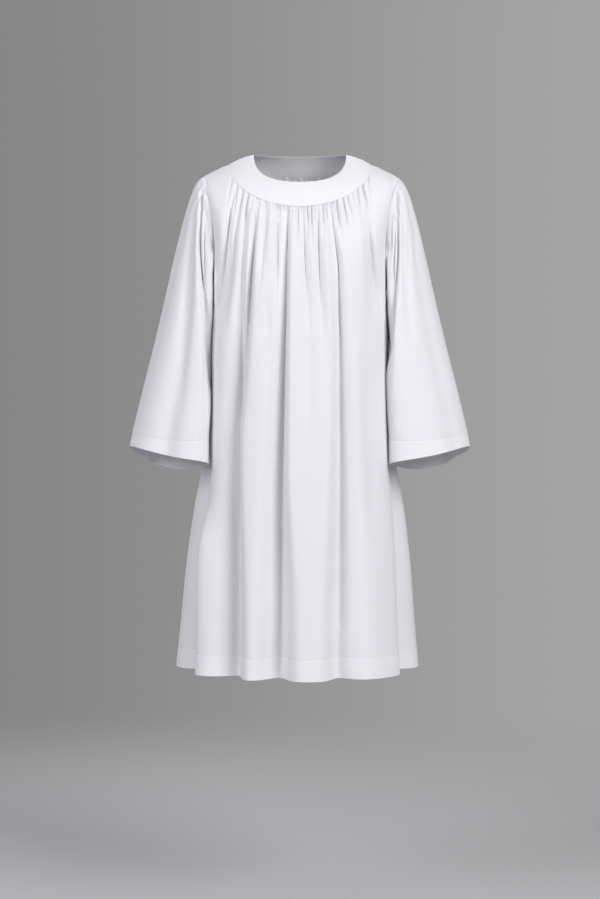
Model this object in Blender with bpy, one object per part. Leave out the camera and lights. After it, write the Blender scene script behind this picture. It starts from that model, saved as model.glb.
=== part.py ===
"""Surplice: a plain white overgarment with a round yoke, a full body gathered into it and two wide set-in
sleeves. Five cut pieces, each one solid of cloth: yoke, front, back, sleeve_left and sleeve_right. It hangs
as worn, open at the neck, hem and cuffs. Sizes here are in millimetres: x to the wearer's left, y to the
back, z up, with the origin between the two points where the neckline crosses the shoulders."""

import math

import bpy
import numpy as np

MM = 0.001

# ---- driving sizes ------------------------------------------------------------------------------------
CLOTH = 1.2  # wall of the single cloth
HEM_CLOTH = 2.0  # wall where a hem is turned up
YOKE_CLOTH = 2.4  # the yoke is cut double
SEAM_GAP = 0.3  # pieces stay this far apart at a seam

NECK_HALF_WIDTH = 99.0
YOKE_HALF_WIDTH = 151.0
YOKE_DROP = 20.0  # the yoke's outer edge lies this far below the neckline on the shoulder
SHOULDER_HALF_WIDTH = 213.0
SHOULDER_DROP = 50.0
UNDERARM_HALF_WIDTH = 182.0
UNDERARM_Z = -292.0
LENGTH = 1000.0  # body panels, from the yoke seam to the hem's edge
HEM_DEPTH = 45.0  # turned-up hem of the body
HEM_RISE = 0.12  # the hem rides up in a fold by this share of the fold's depth
CUFF_DEPTH = 0.06  # turned-up hem of a sleeve, as a share of the sleeve's length

GATHERS = 28  # in each body panel, along the yoke
HEAD_GATHERS = 12  # in each sleeve, over its head
SEAM_STEPS = 56  # vertices along each half of the yoke seam
ARMHOLE_STEPS = 20  # vertices along each half of an armhole
UNDER_STEPS = 20  # columns round the lower half of a sleeve

# ---- half loops: the neckline and the yoke seam ----------------------------------------------------------
# Each is an arch from one shoulder to the other: it leaves the shoulder towards the lead point and passes
# the centre level, held wide by the pull point.
ARCH_COLUMNS = ("edge_x", "edge_z", "lead_x", "lead_y", "lead_z", "pull_x", "pull_z", "centre_y", "centre_z")
NECK_FRONT = (NECK_HALF_WIDTH, 0, 99, -60, -52, 60, -70, -85, -70)
NECK_BACK = (NECK_HALF_WIDTH, 0, 99, 50, 6, 60, 8, 76, 8)

# ---- rows of the body panels -------------------------------------------------------------------------------
# down: distance below the yoke seam at the centre. A row starts on the panel's edge, heads for the lead
# point, and crosses the centre line at (centre_y, centre_z) held wide by the pull point. margin is how much
# of the row lies smooth between the panel's edge and the first gather.
ROW_COLUMNS = ("down", "lead_x", "lead_y", "lead_z", "pull_x", "pull_z", "centre_y", "centre_z", "margin")
FRONT_ROWS = (
    (0, 151, -98, -76, 88, -125, -118, -125, 0),
    (40, 176, -90, -62, 108, -158, -130, -163, 32),
    (80, 190, -72, -38, 120, -186, -140, -200, 60),
    (117, 190, -92, -80, 116, -221, -146, -235, 48),
    (153, 180, -108, -130, 112, -259, -150, -268, 26),
    (190, 170, -118, -198, 108, -298, -153, -303, 10),
    (227, 172, -116, -265, 118, -335, -155, -339, 8),
    (263, 178, -110, -320, 130, -372, -156, -374, 8),
    (300, 186, -114, -352, 142, -409, -157, -411, 6),
    (400, 190, -120, -441, 146, -509, -159, -510, 0),
    (500, 197, -118, -546, 146, -609, -161, -610, 0),
    (600, 208, -112, -652, 146, -709, -165, -709, 0),
    (700, 227, -104, -766, 142, -808, -170, -808, 0),
    (800, 235, -107, -888, 146, -908, -176, -908, 0),
    (900, 242, -110, -1008, 150, -1012, -183, -1012, 0),
    (1000, 250, -114, -1104, 154, -1110, -190, -1110, 0),
)
BACK_ROWS = (
    (0, 151, 62, -22, 95, -32, 108, -32, 0),
    (40, 180, 70, -30, 112, -66, 120, -68, 30),
    (80, 196, 72, -38, 128, -100, 128, -106, 56),
    (117, 196, 92, -74, 126, -138, 134, -146, 44),
    (153, 187, 110, -122, 122, -182, 138, -190, 24),
    (190, 176, 122, -188, 118, -232, 141, -238, 10),
    (227, 174, 124, -256, 118, -280, 143, -284, 8),
    (263, 180, 112, -316, 120, -330, 145, -332, 8),
    (300, 188, 98, -352, 124, -378, 146, -380, 6),
    (400, 194, 112, -440, 130, -486, 150, -487, 0),
    (500, 202, 126, -545, 134, -592, 155, -592, 0),
    (600, 212, 138, -650, 138, -696, 161, -696, 0),
    (700, 225, 146, -766, 142, -798, 168, -798, 0),
    (800, 238, 152, -888, 146, -902, 175, -902, 0),
    (900, 249, 158, -1008, 150, -1010, 182, -1010, 0),
    (1000, 256, 164, -1102, 154, -1107, 188, -1107, 0),
)
MARGIN_STEPS = 2  # extra vertices across a margin
MARGIN_SHARE = 0.02  # a margin as an even share, outside 0 to 1

# ---- the side seams below the underarm --------------------------------------------------------------------
SIDE_COLUMNS = ("down", "x", "y", "z", "left_out", "right_out")
SIDE_SEAM = (
    (300, UNDERARM_HALF_WIDTH, 5, UNDERARM_Z, 0, 0),
    (340, 186, 14, -332, 0, 0),
    (400, 189, 26, -395, 0, 0),
    (500, 193, 40, -516, 0, 0),
    (600, 204, 50, -636, 2, 0),
    (700, 226, 56, -760, 4, 0),
    (800, 242, 58, -885, 6, -1),
    (900, 252, 60, -1008, 8, -2),
    (1000, 260, 60, -1102, 10, -2),
)

# ---- the sleeves: four guide lines, from the armhole to the cuff -------------------------------------------
SLEEVE_COLUMNS = ("along", "outer_x", "outer_z", "front_x", "front_y", "front_z", "inner_x", "inner_y",
                  "inner_z", "back_x", "back_y", "back_z")
SLEEVE_ROWS = (
    (0.00, 213, -50, 183, -78, -165, 182, 5, -292, 183, 88, -165),
    (0.02, 222, -62, 190, -81, -170, 188, 3, -288, 190, 90, -170),
    (0.06, 233, -84, 197, -84, -184, 190, -2, -297, 199, 92, -184),
    (0.12, 244, -116, 201, -87, -208, 187.5, -12, -325, 208, 94, -210),
    (0.22, 258, -168, 207, -91, -256, 188, -28, -375, 219, 95, -260),
    (0.35, 275, -240, 217, -93, -325, 188, -42, -425, 232, 95, -332),
    (0.50, 294, -325, 231, -95, -405, 187, -50, -485, 247, 95, -415),
    (0.65, 315, -413, 246, -96, -487, 188, -54, -540, 262, 94, -500),
    (0.80, 342, -520, 262, -97, -558, 190, -58, -576, 277, 93, -582),
    (0.90, 360, -596, 272, -98, -606, 192, -60, -608, 286, 92, -626),
    (1.00, 366, -628, 281, -98, -645, 192, -60, -665, 292, 91, -672),
)

# ---- folds --------------------------------------------------------------------------------------------------
# A fold of a body panel follows a path through three levels (z, x), with its depth in, and its half width,
# at those levels. A negative depth stands out. lean is how much steeper the fold is on its side towards the
# wearer's left, or when negative, towards the right.
FOLD_COLUMNS = ("z1", "x1", "depth1", "half1", "z2", "x2", "depth2", "half2", "z3", "x3", "depth3", "half3",
                "lean")
FRONT_FOLDS = (
    (-150, -148, 5, 9, -250, -154, 9, 11, -420, -168, 0, 16, 0.3),
    (-150, -132, 3, 8, -220, -138, 6, 9, -330, -150, 0, 12, 0),
    (-150, -112, 5, 9, -420, -131, 16, 14, -1120, -153, 48, 29, 0.7),
    (-160, -95, 5, 9, -320, -107, 11, 10, -560, -124, 0, 18, 0.5),
    (-130, -70, 5, 9, -190, -76, 5, 10, -300, -86, 0, 12, 0),
    (-200, -62, 0, 10, -360, -64, 5, 13, -560, -65, 0, 16, 0),
    (-120, -47, 6, 9, -220, -47, 6, 10, -330, -48, 0, 12, 0),
    (-120, -24, 7, 10, -440, -33, 22, 15, -1120, -49, 52, 32, 1.0),
    (-120, 8, 6, 9, -330, 17, 6, 13, -680, 20, 0, 20, 0.3),
    (-140, 39, 4, 9, -300, 44, 6, 12, -620, 54, 0, 20, 0.3),
    (-120, 60, 6, 9, -420, 82, 15, 15, -1120, 90, 42, 31, -0.5),
    (-110, 78, 4, 8, -160, 86, 4, 9, -220, 96, 0, 11, 0),
    (-100, 98, 4, 8, -150, 104, 4, 9, -210, 112, 0, 11, 0),
    (-150, 140, 5, 10, -260, 152, 8, 12, -400, 160, 0, 16, 0),
    (-330, 134, 0, 14, -600, 150, 5, 20, -860, 160, 0, 26, 0),
)
BACK_FOLDS = (
    (-90, -120, 5, 10, -420, -142, 13, 16, -1120, -150, 36, 30, 0.4),
    (-90, -82, 5, 9, -300, -96, 8, 13, -560, -104, 0, 20, 0),
    (-90, -44, 6, 10, -460, -58, 16, 16, -1120, -66, 40, 29, -0.4),
    (-90, -12, 5, 9, -320, -14, 7, 14, -640, -12, 0, 20, 0),
    (-90, 26, 6, 10, -460, 34, 15, 16, -1120, 28, 38, 28, 0.5),
    (-90, 64, 5, 9, -300, 74, 8, 13, -600, 82, 0, 20, 0),
    (-90, 104, 5, 10, -420, 122, 13, 16, -1120, 120, 38, 30, -0.4),
    (-90, 138, 4, 9, -260, 154, 7, 12, -420, 164, 0, 16, 0),
)
# A fold beside a side seam goes by its distance from that seam along the cloth.
SIDE_FOLD_COLUMNS = ("side", "z1", "from_seam1", "depth1", "z2", "from_seam2", "depth2", "z3", "from_seam3",
                     "depth3", "half1", "half3")
FRONT_SIDE_FOLDS = (
    (-1, -400, 60, 0, -640, 86, 13, -1120, 112, 52, 28, 37),
    (-1, -740, 132, 0, -850, 142, -18, -1120, 154, -10, 26, 34),
    (1, -400, 60, 0, -640, 86, 13, -1120, 110, 46, 28, 37),
)
BACK_SIDE_FOLDS = (
    (-1, -460, 66, 0, -800, 80, 20, -1120, 92, 36, 26, 36),
    (1, -460, 66, 0, -800, 80, 20, -1120, 92, 36, 26, 36),
)
# A fold of a sleeve follows its angle round the sleeve: 0 outer, 90 front, 180 inner, 270 back.
SLEEVE_FOLD_COLUMNS = ("along1", "angle1", "depth1", "along2", "angle2", "depth2", "along3", "angle3",
                       "depth3", "half1", "half3")
SLEEVE_LEFT_FOLDS = (
    (0.03, 74, 5, 0.22, 126, 10, 0.55, 148, 0, 9, 12),
    (0.03, 46, 3, 0.25, 74, 4, 0.60, 88, 0, 8, 12),
    (0.06, 24, 2, 0.45, 48, 4, 1.10, 52, 5, 9, 16),
    (0.06, -30, 4, 0.40, -48, 9, 1.10, -50, 14, 9, 16),
    (0.12, 205, 0, 0.55, 210, 10, 1.10, 214, 13, 18, 22),
)
SLEEVE_RIGHT_FOLDS = (
    (0.03, 72, 6, 0.28, 130, 14, 0.78, 150, 0, 11, 13),
    (0.06, 40, 3, 0.45, 74, 8, 1.10, 88, 12, 9, 18),
    (0.06, 12, 2, 0.40, 18, 4, 1.00, 16, 0, 9, 14),
    (0.06, -30, 4, 0.40, -46, 9, 1.10, -52, 13, 9, 16),
    (0.12, 205, 0, 0.55, 210, 10, 1.10, 214, 13, 18, 22),
)

# ---- rows that the solids take --------------------------------------------------------------------------------
GATHERED_ROWS = (8.0, 34.0, 68.0)
PLAIN_ROWS = (104.0, 138.0, 172.0, 208.0, 246.0, 288.0, 350.0, 430.0, 530.0, 640.0, 750.0, 860.0)
SLEEVE_GATHERED = (0.02, 0.06, 0.13)
SLEEVE_PLAIN = (0.22, 0.34, 0.48, 0.63, 0.79)
HEM_STEP = 4.0  # over this length the wall goes from single cloth to the turned-up hem


def table(columns, rows):
    """The rows as one array for each named column."""
    return {name: np.array([row[i] for row in rows], float) for i, name in enumerate(columns)}


def smooth_step(x):
    x = np.clip(x, 0.0, 1.0)
    return x * x * (3.0 - 2.0 * x)


def curve(xs, ys, x):
    """A smooth curve through the points (xs, ys) that never overshoots them."""
    xs, ys, x = np.asarray(xs, float), np.asarray(ys, float), np.asarray(x, float)
    step = np.diff(xs)
    slope = np.diff(ys) / step
    tangent = np.zeros(len(xs))
    tangent[0], tangent[-1] = slope[0], slope[-1]
    for i in range(1, len(xs) - 1):
        if slope[i - 1] * slope[i] > 0:
            w1, w2 = 2 * step[i] + step[i - 1], step[i] + 2 * step[i - 1]
            tangent[i] = (w1 + w2) / (w1 / slope[i - 1] + w2 / slope[i])
    i = np.clip(np.searchsorted(xs, x, side="right") - 1, 0, len(step) - 1)
    h = step[i]
    t = np.clip((x - xs[i]) / h, 0.0, 1.0)
    return ((1 + 2 * t) * (1 - t) ** 2 * ys[i] + t * (1 - t) ** 2 * h * tangent[i]
            + t * t * (3 - 2 * t) * ys[i + 1] + t * t * (t - 1) * h * tangent[i + 1])


def bezier(p0, p1, p2, p3, t):
    t = t[:, None]
    return (1 - t) ** 3 * p0 + 3 * t * (1 - t) ** 2 * p1 + 3 * t * t * (1 - t) * p2 + t ** 3 * p3


def place(line, distances):
    """The points of a line at the given distances along it."""
    run = run_of(line)
    return np.stack([np.interp(distances, run, line[:, k]) for k in range(3)], axis=1)


def run_of(line):
    return np.concatenate([[0.0], np.cumsum(np.linalg.norm(np.diff(line, axis=0), axis=1))])


def arch(right_edge, left_edge, lead, pull, centre):
    """A row that runs from the wearer's right edge over the centre to the left edge."""
    t = np.linspace(0, 1, 90)
    halves = []
    for side, edge in ((-1, right_edge), (1, left_edge)):
        mirror = np.array([side, 1, 1])
        halves.append(bezier(edge, lead * mirror, pull * mirror, centre, t))
    return np.vstack([halves[0], halves[1][::-1][1:]])


# ---- seams ----------------------------------------------------------------------------------------------------
SIDE = table(SIDE_COLUMNS, SIDE_SEAM)
TIP_ROW, UNDERARM_ROW = 80.0, 300.0


def guide(rows, name, along):
    return curve(rows["along"], rows[name], along)


def sleeve_ring(rows, along, angle):
    """Points round a sleeve of the wearer's left side, at the given angles."""
    outer = np.array([guide(rows, "outer_x", along), 0.0, guide(rows, "outer_z", along)])
    front, inner, back = (np.array([guide(rows, f"{line}_{axis}", along) for axis in "xyz"])
                          for line in ("front", "inner", "back"))
    middle = (outer + front + inner + back) / 4
    squash = ((outer + inner) - (front + back)) / 4
    angle = np.asarray(angle)[:, None]
    return (middle + (outer - inner) / 2 * np.cos(angle) + (front - back) / 2 * np.sin(angle)
            + squash * np.cos(2 * angle))


SLEEVE = table(SLEEVE_COLUMNS, SLEEVE_ROWS)


def edge_point(down, side, half):
    """A point on a body panel's edge: along the shoulder, round the armhole, then down the side seam.
    side is -1 or 1 for x, half is -1 for the front panel and 1 for the back."""
    if down <= TIP_ROW:
        share = down / TIP_ROW
        x = YOKE_HALF_WIDTH + (SHOULDER_HALF_WIDTH - YOKE_HALF_WIDTH) * share
        z = -YOKE_DROP - (SHOULDER_DROP - YOKE_DROP) * share ** 1.25
        return np.array([side * x, 0.0, z])
    if down <= UNDERARM_ROW:
        angle = math.pi * (down - TIP_ROW) / (UNDERARM_ROW - TIP_ROW) * -half
        point = sleeve_ring(SLEEVE, 0.0, [angle])[0]
        return point * np.array([side, 1, 1])
    out = curve(SIDE["down"], SIDE["left_out" if side < 0 else "right_out"], down)
    x, y, z = (curve(SIDE["down"], SIDE[axis], down) for axis in "xyz")
    return np.array([side * (x + out), y, z])


# ---- body panels ----------------------------------------------------------------------------------------------
def panel_row(rows, half, down):
    lead, pull = (np.array([curve(rows["down"], rows[name], down) for name in names])
                  for names in (("lead_x", "lead_y", "lead_z"), ("pull_x", "centre_y", "pull_z")))
    centre = np.array([0.0, curve(rows["down"], rows["centre_y"], down),
                       curve(rows["down"], rows["centre_z"], down)])
    return arch(edge_point(down, -1, half), edge_point(down, 1, half), lead, pull, centre)


def unit(v):
    return v / np.maximum(np.linalg.norm(v, axis=-1, keepdims=True), 1e-9)


def gather_places(share, shift):
    """Where the cloth at an even share lies along the gathered stretch: the gathers are uneven in width."""
    return (share + 0.0105 * np.sin(2 * math.pi * (5 * share + shift)) * np.sin(math.pi * share)
            + 0.0032 * np.sin(2 * math.pi * (11 * share + 2 * shift)) * np.sin(math.pi * share))


def distances(rows, half, down, even, length):
    """How far along a row the cloth at these even shares lies. A share under 0 or over 1 is in a margin."""
    margin = curve(rows["down"], rows["margin"], down)
    inside = gather_places(np.clip(even, 0, 1), 0.13 * half) * (length - 2 * margin)
    outside = np.minimum(even, 0) / MARGIN_SHARE + np.maximum(even - 1, 0) / MARGIN_SHARE
    return margin * (1 + outside) + inside


def panel_base(rows, half, down, even):
    """A row of the panel before any fold: its points, the way out of the cloth, the distance along the row
    and the row's length."""
    line = panel_row(rows, half, down)
    length = run_of(line)[-1]
    along = distances(rows, half, down, even, length)
    ahead, behind = place(line, np.minimum(along + 2, length)), place(line, np.maximum(along - 2, 0))
    steps = []
    for near in (min(down + 3, LENGTH), max(down - 3, 0)):
        other = panel_row(rows, half, near)
        steps.append(place(other, distances(rows, half, near, even, run_of(other)[-1])))
    out = unit(np.cross(ahead - behind, steps[0] - steps[1])) * half
    return place(line, along), out, along, length


def fold_depth(fold, x, z):
    """How far one fold draws the cloth in, at points (x, z) of a panel."""
    levels = np.array([-fold["z1"], -fold["z2"], -fold["z3"]])
    path = curve(levels, [fold["x1"], fold["x2"], fold["x3"]], -z)
    half = curve(levels, [fold["half1"], fold["half2"], fold["half3"]], -z)
    depth = curve(levels, [fold["depth1"], fold["depth2"], fold["depth3"]], -z)
    start = smooth_step((-z - levels[0] + 30) / 40)
    end = smooth_step((levels[2] + 30 - -z) / 30)
    away = (x - path) / half
    lean = fold["lean"] * (1 - 0.75 * smooth_step((-z - 650) / 350))
    reach = 1 + abs(lean) * np.where(away * lean > 0, -0.6, 0.35)
    return depth * start * end * np.exp(-(away / reach) ** 2)


def side_fold_depth(fold, from_seam, z):
    levels = np.array([-fold["z1"], -fold["z2"], -fold["z3"]])
    path = curve(levels, [fold["from_seam1"], fold["from_seam2"], fold["from_seam3"]], -z)
    depth = curve(levels, [fold["depth1"], fold["depth2"], fold["depth3"]], -z)
    half = np.interp(-z, [levels[0], levels[2]], [fold["half1"], fold["half3"]])
    start = smooth_step((-z - levels[0] + 60) / 60)
    return depth * start * smooth_step(from_seam / 30) * np.exp(-((from_seam - path) / half) ** 2)


def records(columns, rows):
    return [dict(zip(columns, row)) for row in rows]


def gather_depth(share, down, count, shift):
    """Gathers are sharpest just below the seam. Neighbours then join and die out."""
    uneven = 1 + 0.28 * np.sin(2 * math.pi * (3.7 * share + shift)) + 0.2 * np.sin(2 * math.pi * 8.3 * share)
    edge = smooth_step(share / 0.05) * smooth_step((1 - share) / 0.05)
    first = 3.2 * smooth_step(down / 8) * (1 - smooth_step((down - 25) / 85))
    second = 3.4 * smooth_step((down - 15) / 60) * (1 - smooth_step((down - 110) / 150))
    return edge * uneven * (first * np.cos(2 * math.pi * count * share)
                            + second * np.cos(math.pi * count * share))


def panel_point(rows, folds, side_folds, half, down, even):
    """Points of a body panel on the row at this distance down, at even shares of the gathered cloth."""
    even = np.asarray(even, float)
    points, out, along, length = panel_base(rows, half, down, even)
    x, z = points[:, 0], points[:, 2]
    depth = gather_depth(np.clip(even, 0, 1), down, GATHERS, 0.3 * half)
    clear = smooth_step((np.minimum(along, length - along) - 6) / 34) * smooth_step(down / 12)
    for fold in folds:
        depth = depth + clear * fold_depth(fold, x, z)
    for fold in side_folds:
        depth = depth + side_fold_depth(fold, along if fold["side"] < 0 else length - along, z)
    points = points - out * depth[:, None]
    points[:, 2] += HEM_RISE * depth * smooth_step((down - 700) / 300)
    return points


# ---- meshes of cloth --------------------------------------------------------------------------------------------
class Sheet:
    """The middle of a cloth piece: points, wall and triangles, facing out."""

    def __init__(self, name):
        self.name, self.points, self.wall, self.faces = name, [], [], []

    def add(self, points, wall):
        first = len(self.points)
        self.points.extend(np.asarray(points, float))
        self.wall.extend([wall] * len(points))
        return list(range(first, len(self.points)))

    def zip(self, upper, lower, upper_at, lower_at, flip):
        """Fills the strip between two lines of points, stepping along whichever is behind."""
        i = j = 0
        while i < len(upper) - 1 or j < len(lower) - 1:
            step_upper = j == len(lower) - 1 or (
                i < len(upper) - 1 and upper_at[i + 1] + upper_at[i] <= lower_at[j + 1] + lower_at[j])
            if step_upper:
                face = (upper[i], lower[j], upper[i + 1])
                i += 1
            else:
                face = (upper[i], lower[j], lower[j + 1])
                j += 1
            self.faces.append(face[::-1] if flip else face)


def body_panel(name, row_table, folds, side_folds, half):
    sheet = Sheet(name)
    rows = table(ROW_COLUMNS, row_table)
    folds, side_folds = records(FOLD_COLUMNS, folds), records(SIDE_FOLD_COLUMNS, side_folds)
    hem = LENGTH - HEM_DEPTH
    levels = [(0.0, SEAM_STEPS, CLOTH)] + [(down, 4 * GATHERS, CLOTH) for down in GATHERED_ROWS]
    levels += [(down, 2 * GATHERS, CLOTH) for down in PLAIN_ROWS]
    levels += [(hem, 2 * GATHERS, CLOTH), (hem + HEM_STEP, 2 * GATHERS, HEM_CLOTH),
               (LENGTH, 2 * GATHERS, HEM_CLOTH)]
    flip = half > 0
    lines = []
    for down, steps, wall in levels:
        even = np.arange(1, steps) / steps
        if curve(rows["down"], rows["margin"], down) > 12:
            margin = MARGIN_SHARE * np.arange(1, MARGIN_STEPS + 1) / (MARGIN_STEPS + 1)
            even = np.concatenate([margin - MARGIN_SHARE, even, 1 + margin])
        lines.append((sheet.add(panel_point(rows, folds, side_folds, half, down, even), wall), even))
    for (upper, upper_at), (lower, lower_at) in zip(lines, lines[1:]):
        sheet.zip(upper, lower, upper_at, lower_at, flip)
    downs = [level[0] for level in levels]
    armhole = [TIP_ROW + (UNDERARM_ROW - TIP_ROW) * k / ARMHOLE_STEPS for k in range(ARMHOLE_STEPS + 1)]
    edge_downs = sorted({0.0, 27.0, 54.0, *armhole, *(down for down in downs if down > UNDERARM_ROW)})
    for side, column in ((-1, 0), (1, -1)):
        walls = [HEM_CLOTH if down > hem else CLOTH for down in edge_downs]
        edge = [sheet.add([edge_point(down, side, half)], wall)[0] for down, wall in zip(edge_downs, walls)]
        inside = [line[column] for line, _ in lines]
        sheet.zip(inside, edge, downs, edge_downs, flip == (side < 0))
    return sheet


# ---- yoke ---------------------------------------------------------------------------------------------------------
def yoke():
    """A round ring of double cloth: a front and a back half loop at each of three widths."""
    sheet = Sheet("yoke")
    neck = {-1: table(ARCH_COLUMNS, [NECK_FRONT]), 1: table(ARCH_COLUMNS, [NECK_BACK])}
    body = {-1: table(ROW_COLUMNS, FRONT_ROWS), 1: table(ROW_COLUMNS, BACK_ROWS)}

    def half_loop(half, share, across):
        """across is 0 on the neckline and 1 on the yoke seam."""
        row = neck[half]
        edge = np.array([row["edge_x"][0], 0.0, row["edge_z"][0]])
        lead, pull = (np.array([row[name][0] for name in names])
                      for names in (("lead_x", "lead_y", "lead_z"), ("pull_x", "centre_y", "pull_z")))
        centre = np.array([0.0, row["centre_y"][0], row["centre_z"][0]])
        inner = arch(edge * np.array([-1, 1, 1]), edge, lead, pull, centre)
        outer = panel_row(body[half], half, 0.0)
        inner = place(inner, share * run_of(inner)[-1])
        outer = place(outer, distances(body[half], half, 0.0, share, run_of(outer)[-1]))
        lift = 2.5 * math.sin(math.pi * across)
        middle = inner + (outer - inner) * across
        return middle + lift * unit(middle - np.array([0.0, 0.0, -260.0]))

    lines = []
    for across, steps in ((0.0, 40), (0.5, 40), (1.0, SEAM_STEPS)):
        share = np.arange(steps) / steps
        loop = np.vstack([half_loop(-1, share, across), half_loop(1, 1 - share, across)])
        ids = sheet.add(loop, YOKE_CLOTH)
        lines.append((ids + ids[:1], np.arange(2 * steps + 1) / (2 * steps)))
    for (upper, upper_at), (lower, lower_at) in zip(lines, lines[1:]):
        sheet.zip(upper, lower, upper_at, lower_at, False)
    return sheet


# ---- sleeves ------------------------------------------------------------------------------------------------------
def sleeve_point(folds, along, degrees, shift):
    """Points of a sleeve of the wearer's left side, gathers and folds included."""
    degrees = np.asarray(degrees, float)
    angle = np.radians(degrees)
    points = sleeve_ring(SLEEVE, along, angle)
    if along == 0:
        return points
    step = 0.004
    around = sleeve_ring(SLEEVE, along, angle + 0.01) - sleeve_ring(SLEEVE, along, angle - 0.01)
    down = sleeve_ring(SLEEVE, min(along + step, 1), angle) - sleeve_ring(SLEEVE, max(along - step, 0), angle)
    out = unit(np.cross(around, down))
    turn = (degrees + 180) % 360 - 180
    head = smooth_step((90 - np.abs(turn)) / 18)
    share = (turn + 90) / 180
    uneven = 1 + 0.3 * np.sin(2 * math.pi * (2.3 * share + shift))
    first = 2.2 * smooth_step(along / 0.018) * (1 - smooth_step((along - 0.06) / 0.12))
    second = 2.4 * smooth_step((along - 0.03) / 0.08) * (1 - smooth_step((along - 0.16) / 0.22))
    depth = head * uneven * (first * np.cos(2 * math.pi * HEAD_GATHERS * share)
                             + second * np.cos(math.pi * HEAD_GATHERS * share + shift))
    for fold in folds:
        levels = [fold["along1"], fold["along2"], fold["along3"]]
        path = curve(levels, [fold["angle1"], fold["angle2"], fold["angle3"]], along)
        deep = curve(levels, [fold["depth1"], fold["depth2"], fold["depth3"]], along)
        half = np.interp(along, [levels[0], levels[2]], [fold["half1"], fold["half3"]])
        away = (degrees - path + 180) % 360 - 180
        depth = depth + deep * smooth_step((along - levels[0] + 0.03) / 0.03) * np.exp(-(away / half) ** 2)
    return points - out * depth[:, None]


def sleeve(name, side, folds, shift):
    sheet = Sheet(name)
    folds = records(SLEEVE_FOLD_COLUMNS, folds)
    armhole = 180.0 * np.arange(-ARMHOLE_STEPS, ARMHOLE_STEPS) / ARMHOLE_STEPS
    fine = np.concatenate([-90 + 180 * np.arange(4 * HEAD_GATHERS) / (4 * HEAD_GATHERS),
                           90 + 180 * np.arange(UNDER_STEPS) / UNDER_STEPS])
    coarse = fine[::2]
    hem = 1 - CUFF_DEPTH
    levels = [(0.0, armhole, CLOTH)] + [(along, fine, CLOTH) for along in SLEEVE_GATHERED]
    levels += [(along, coarse, CLOTH) for along in SLEEVE_PLAIN]
    levels += [(hem, coarse, CLOTH), (hem + 0.006, coarse, HEM_CLOTH), (1.0, coarse, HEM_CLOTH)]
    lines = []
    for along, degrees, wall in levels:
        ids = sheet.add(sleeve_point(folds, along, degrees, shift) * np.array([side, 1, 1]), wall)
        start = degrees[0]
        at = np.append(degrees, start + 360)
        if start < -90:
            turn = int(np.argmin(np.abs(degrees + 90)))
            ids, at = ids[turn:] + ids[:turn], np.append(degrees[turn:], degrees[:turn] + 360)
            at = np.append(at, at[0] + 360)
        lines.append((ids + ids[:1], at))
    for (upper, upper_at), (lower, lower_at) in zip(lines, lines[1:]):
        sheet.zip(upper, lower, upper_at, lower_at, side > 0)
    return sheet


# ---- from sheets to solids ------------------------------------------------------------------------------------------
def key(point):
    return tuple(np.round(point, 3) + 0.0)


def solids(sheets):
    """Joins the sheets at their seams to share one way out there, draws each back by half the seam gap,
    then gives each its wall."""
    shared, edge_users = {}, {}
    for sheet in sheets:
        points = np.array(sheet.points)
        for a, b, c in sheet.faces:
            cross = np.cross(points[b] - points[a], points[c] - points[a])
            for v, one, two in ((a, b, c), (b, c, a), (c, a, b)):
                corner = math.acos(np.clip(np.dot(unit(points[one] - points[v]),
                                                  unit(points[two] - points[v])), -1, 1))
                place = key(points[v])
                shared[place] = shared.get(place, 0) + unit(cross) * corner
            for one, two in ((a, b), (b, c), (c, a)):
                place = frozenset((key(points[one]), key(points[two])))
                edge_users.setdefault(place, set()).add(sheet.name)
    seam_steps = [tuple(place) for place, users in edge_users.items() if len(users) > 1]
    for _ in range(3):
        shared = {place: unit(way) for place, way in shared.items()}
        smoother = {}
        for one, two in seam_steps:
            smoother[one] = smoother.get(one, shared[one]) + shared[two]
            smoother[two] = smoother.get(two, shared[two]) + shared[one]
        shared.update(smoother)
    for sheet in sheets:
        points = np.array(sheet.points)
        normals = unit(np.array([shared[key(p)] for p in points]))
        border = {}
        for a, b, c in sheet.faces:
            for one, two, other in ((a, b, c), (b, c, a), (c, a, b)):
                if (two, one) in border:
                    del border[(two, one)]
                else:
                    border[(one, two)] = other
        inward = {}
        for (one, two), other in border.items():
            if len(edge_users[frozenset((key(points[one]), key(points[two])))]) < 2:
                continue
            along = unit(points[two] - points[one])
            into = points[other] - points[one]
            into = into - along * np.dot(into, along)
            for v in (one, two):
                flat = into - normals[v] * np.dot(into, normals[v])
                inward.setdefault(v, []).append(unit(flat))
        for v, ways in inward.items():
            total = sum(ways)
            if len(ways) > 1:
                total = total / (1 + max(np.dot(ways[0], ways[1]), -0.4))
            points[v] = points[v] + total * SEAM_GAP / 2
        build_solid(sheet, points, normals, list(border))


def build_solid(sheet, points, normals, border):
    wall = np.array(sheet.wall)[:, None] / 2
    count = len(points)
    vertices = np.vstack([points + normals * wall, points - normals * wall]) * MM
    faces = [tuple(face) for face in sheet.faces]
    faces += [tuple(v + count for v in face[::-1]) for face in sheet.faces]
    faces += [(two, one, one + count, two + count) for one, two in border]
    mesh = bpy.data.meshes.new(sheet.name)
    mesh.from_pydata(vertices.tolist(), [], faces)
    mesh.update()
    cloth = bpy.data.materials.new(f"{sheet.name}_cloth")
    cloth.use_nodes = True
    shader = cloth.node_tree.nodes["Principled BSDF"]
    shader.inputs["Base Color"].default_value = (0.86, 0.86, 0.89, 1)
    shader.inputs["Roughness"].default_value = 0.85
    mesh.materials.append(cloth)
    bpy.context.scene.collection.objects.link(bpy.data.objects.new(sheet.name, mesh))


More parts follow.
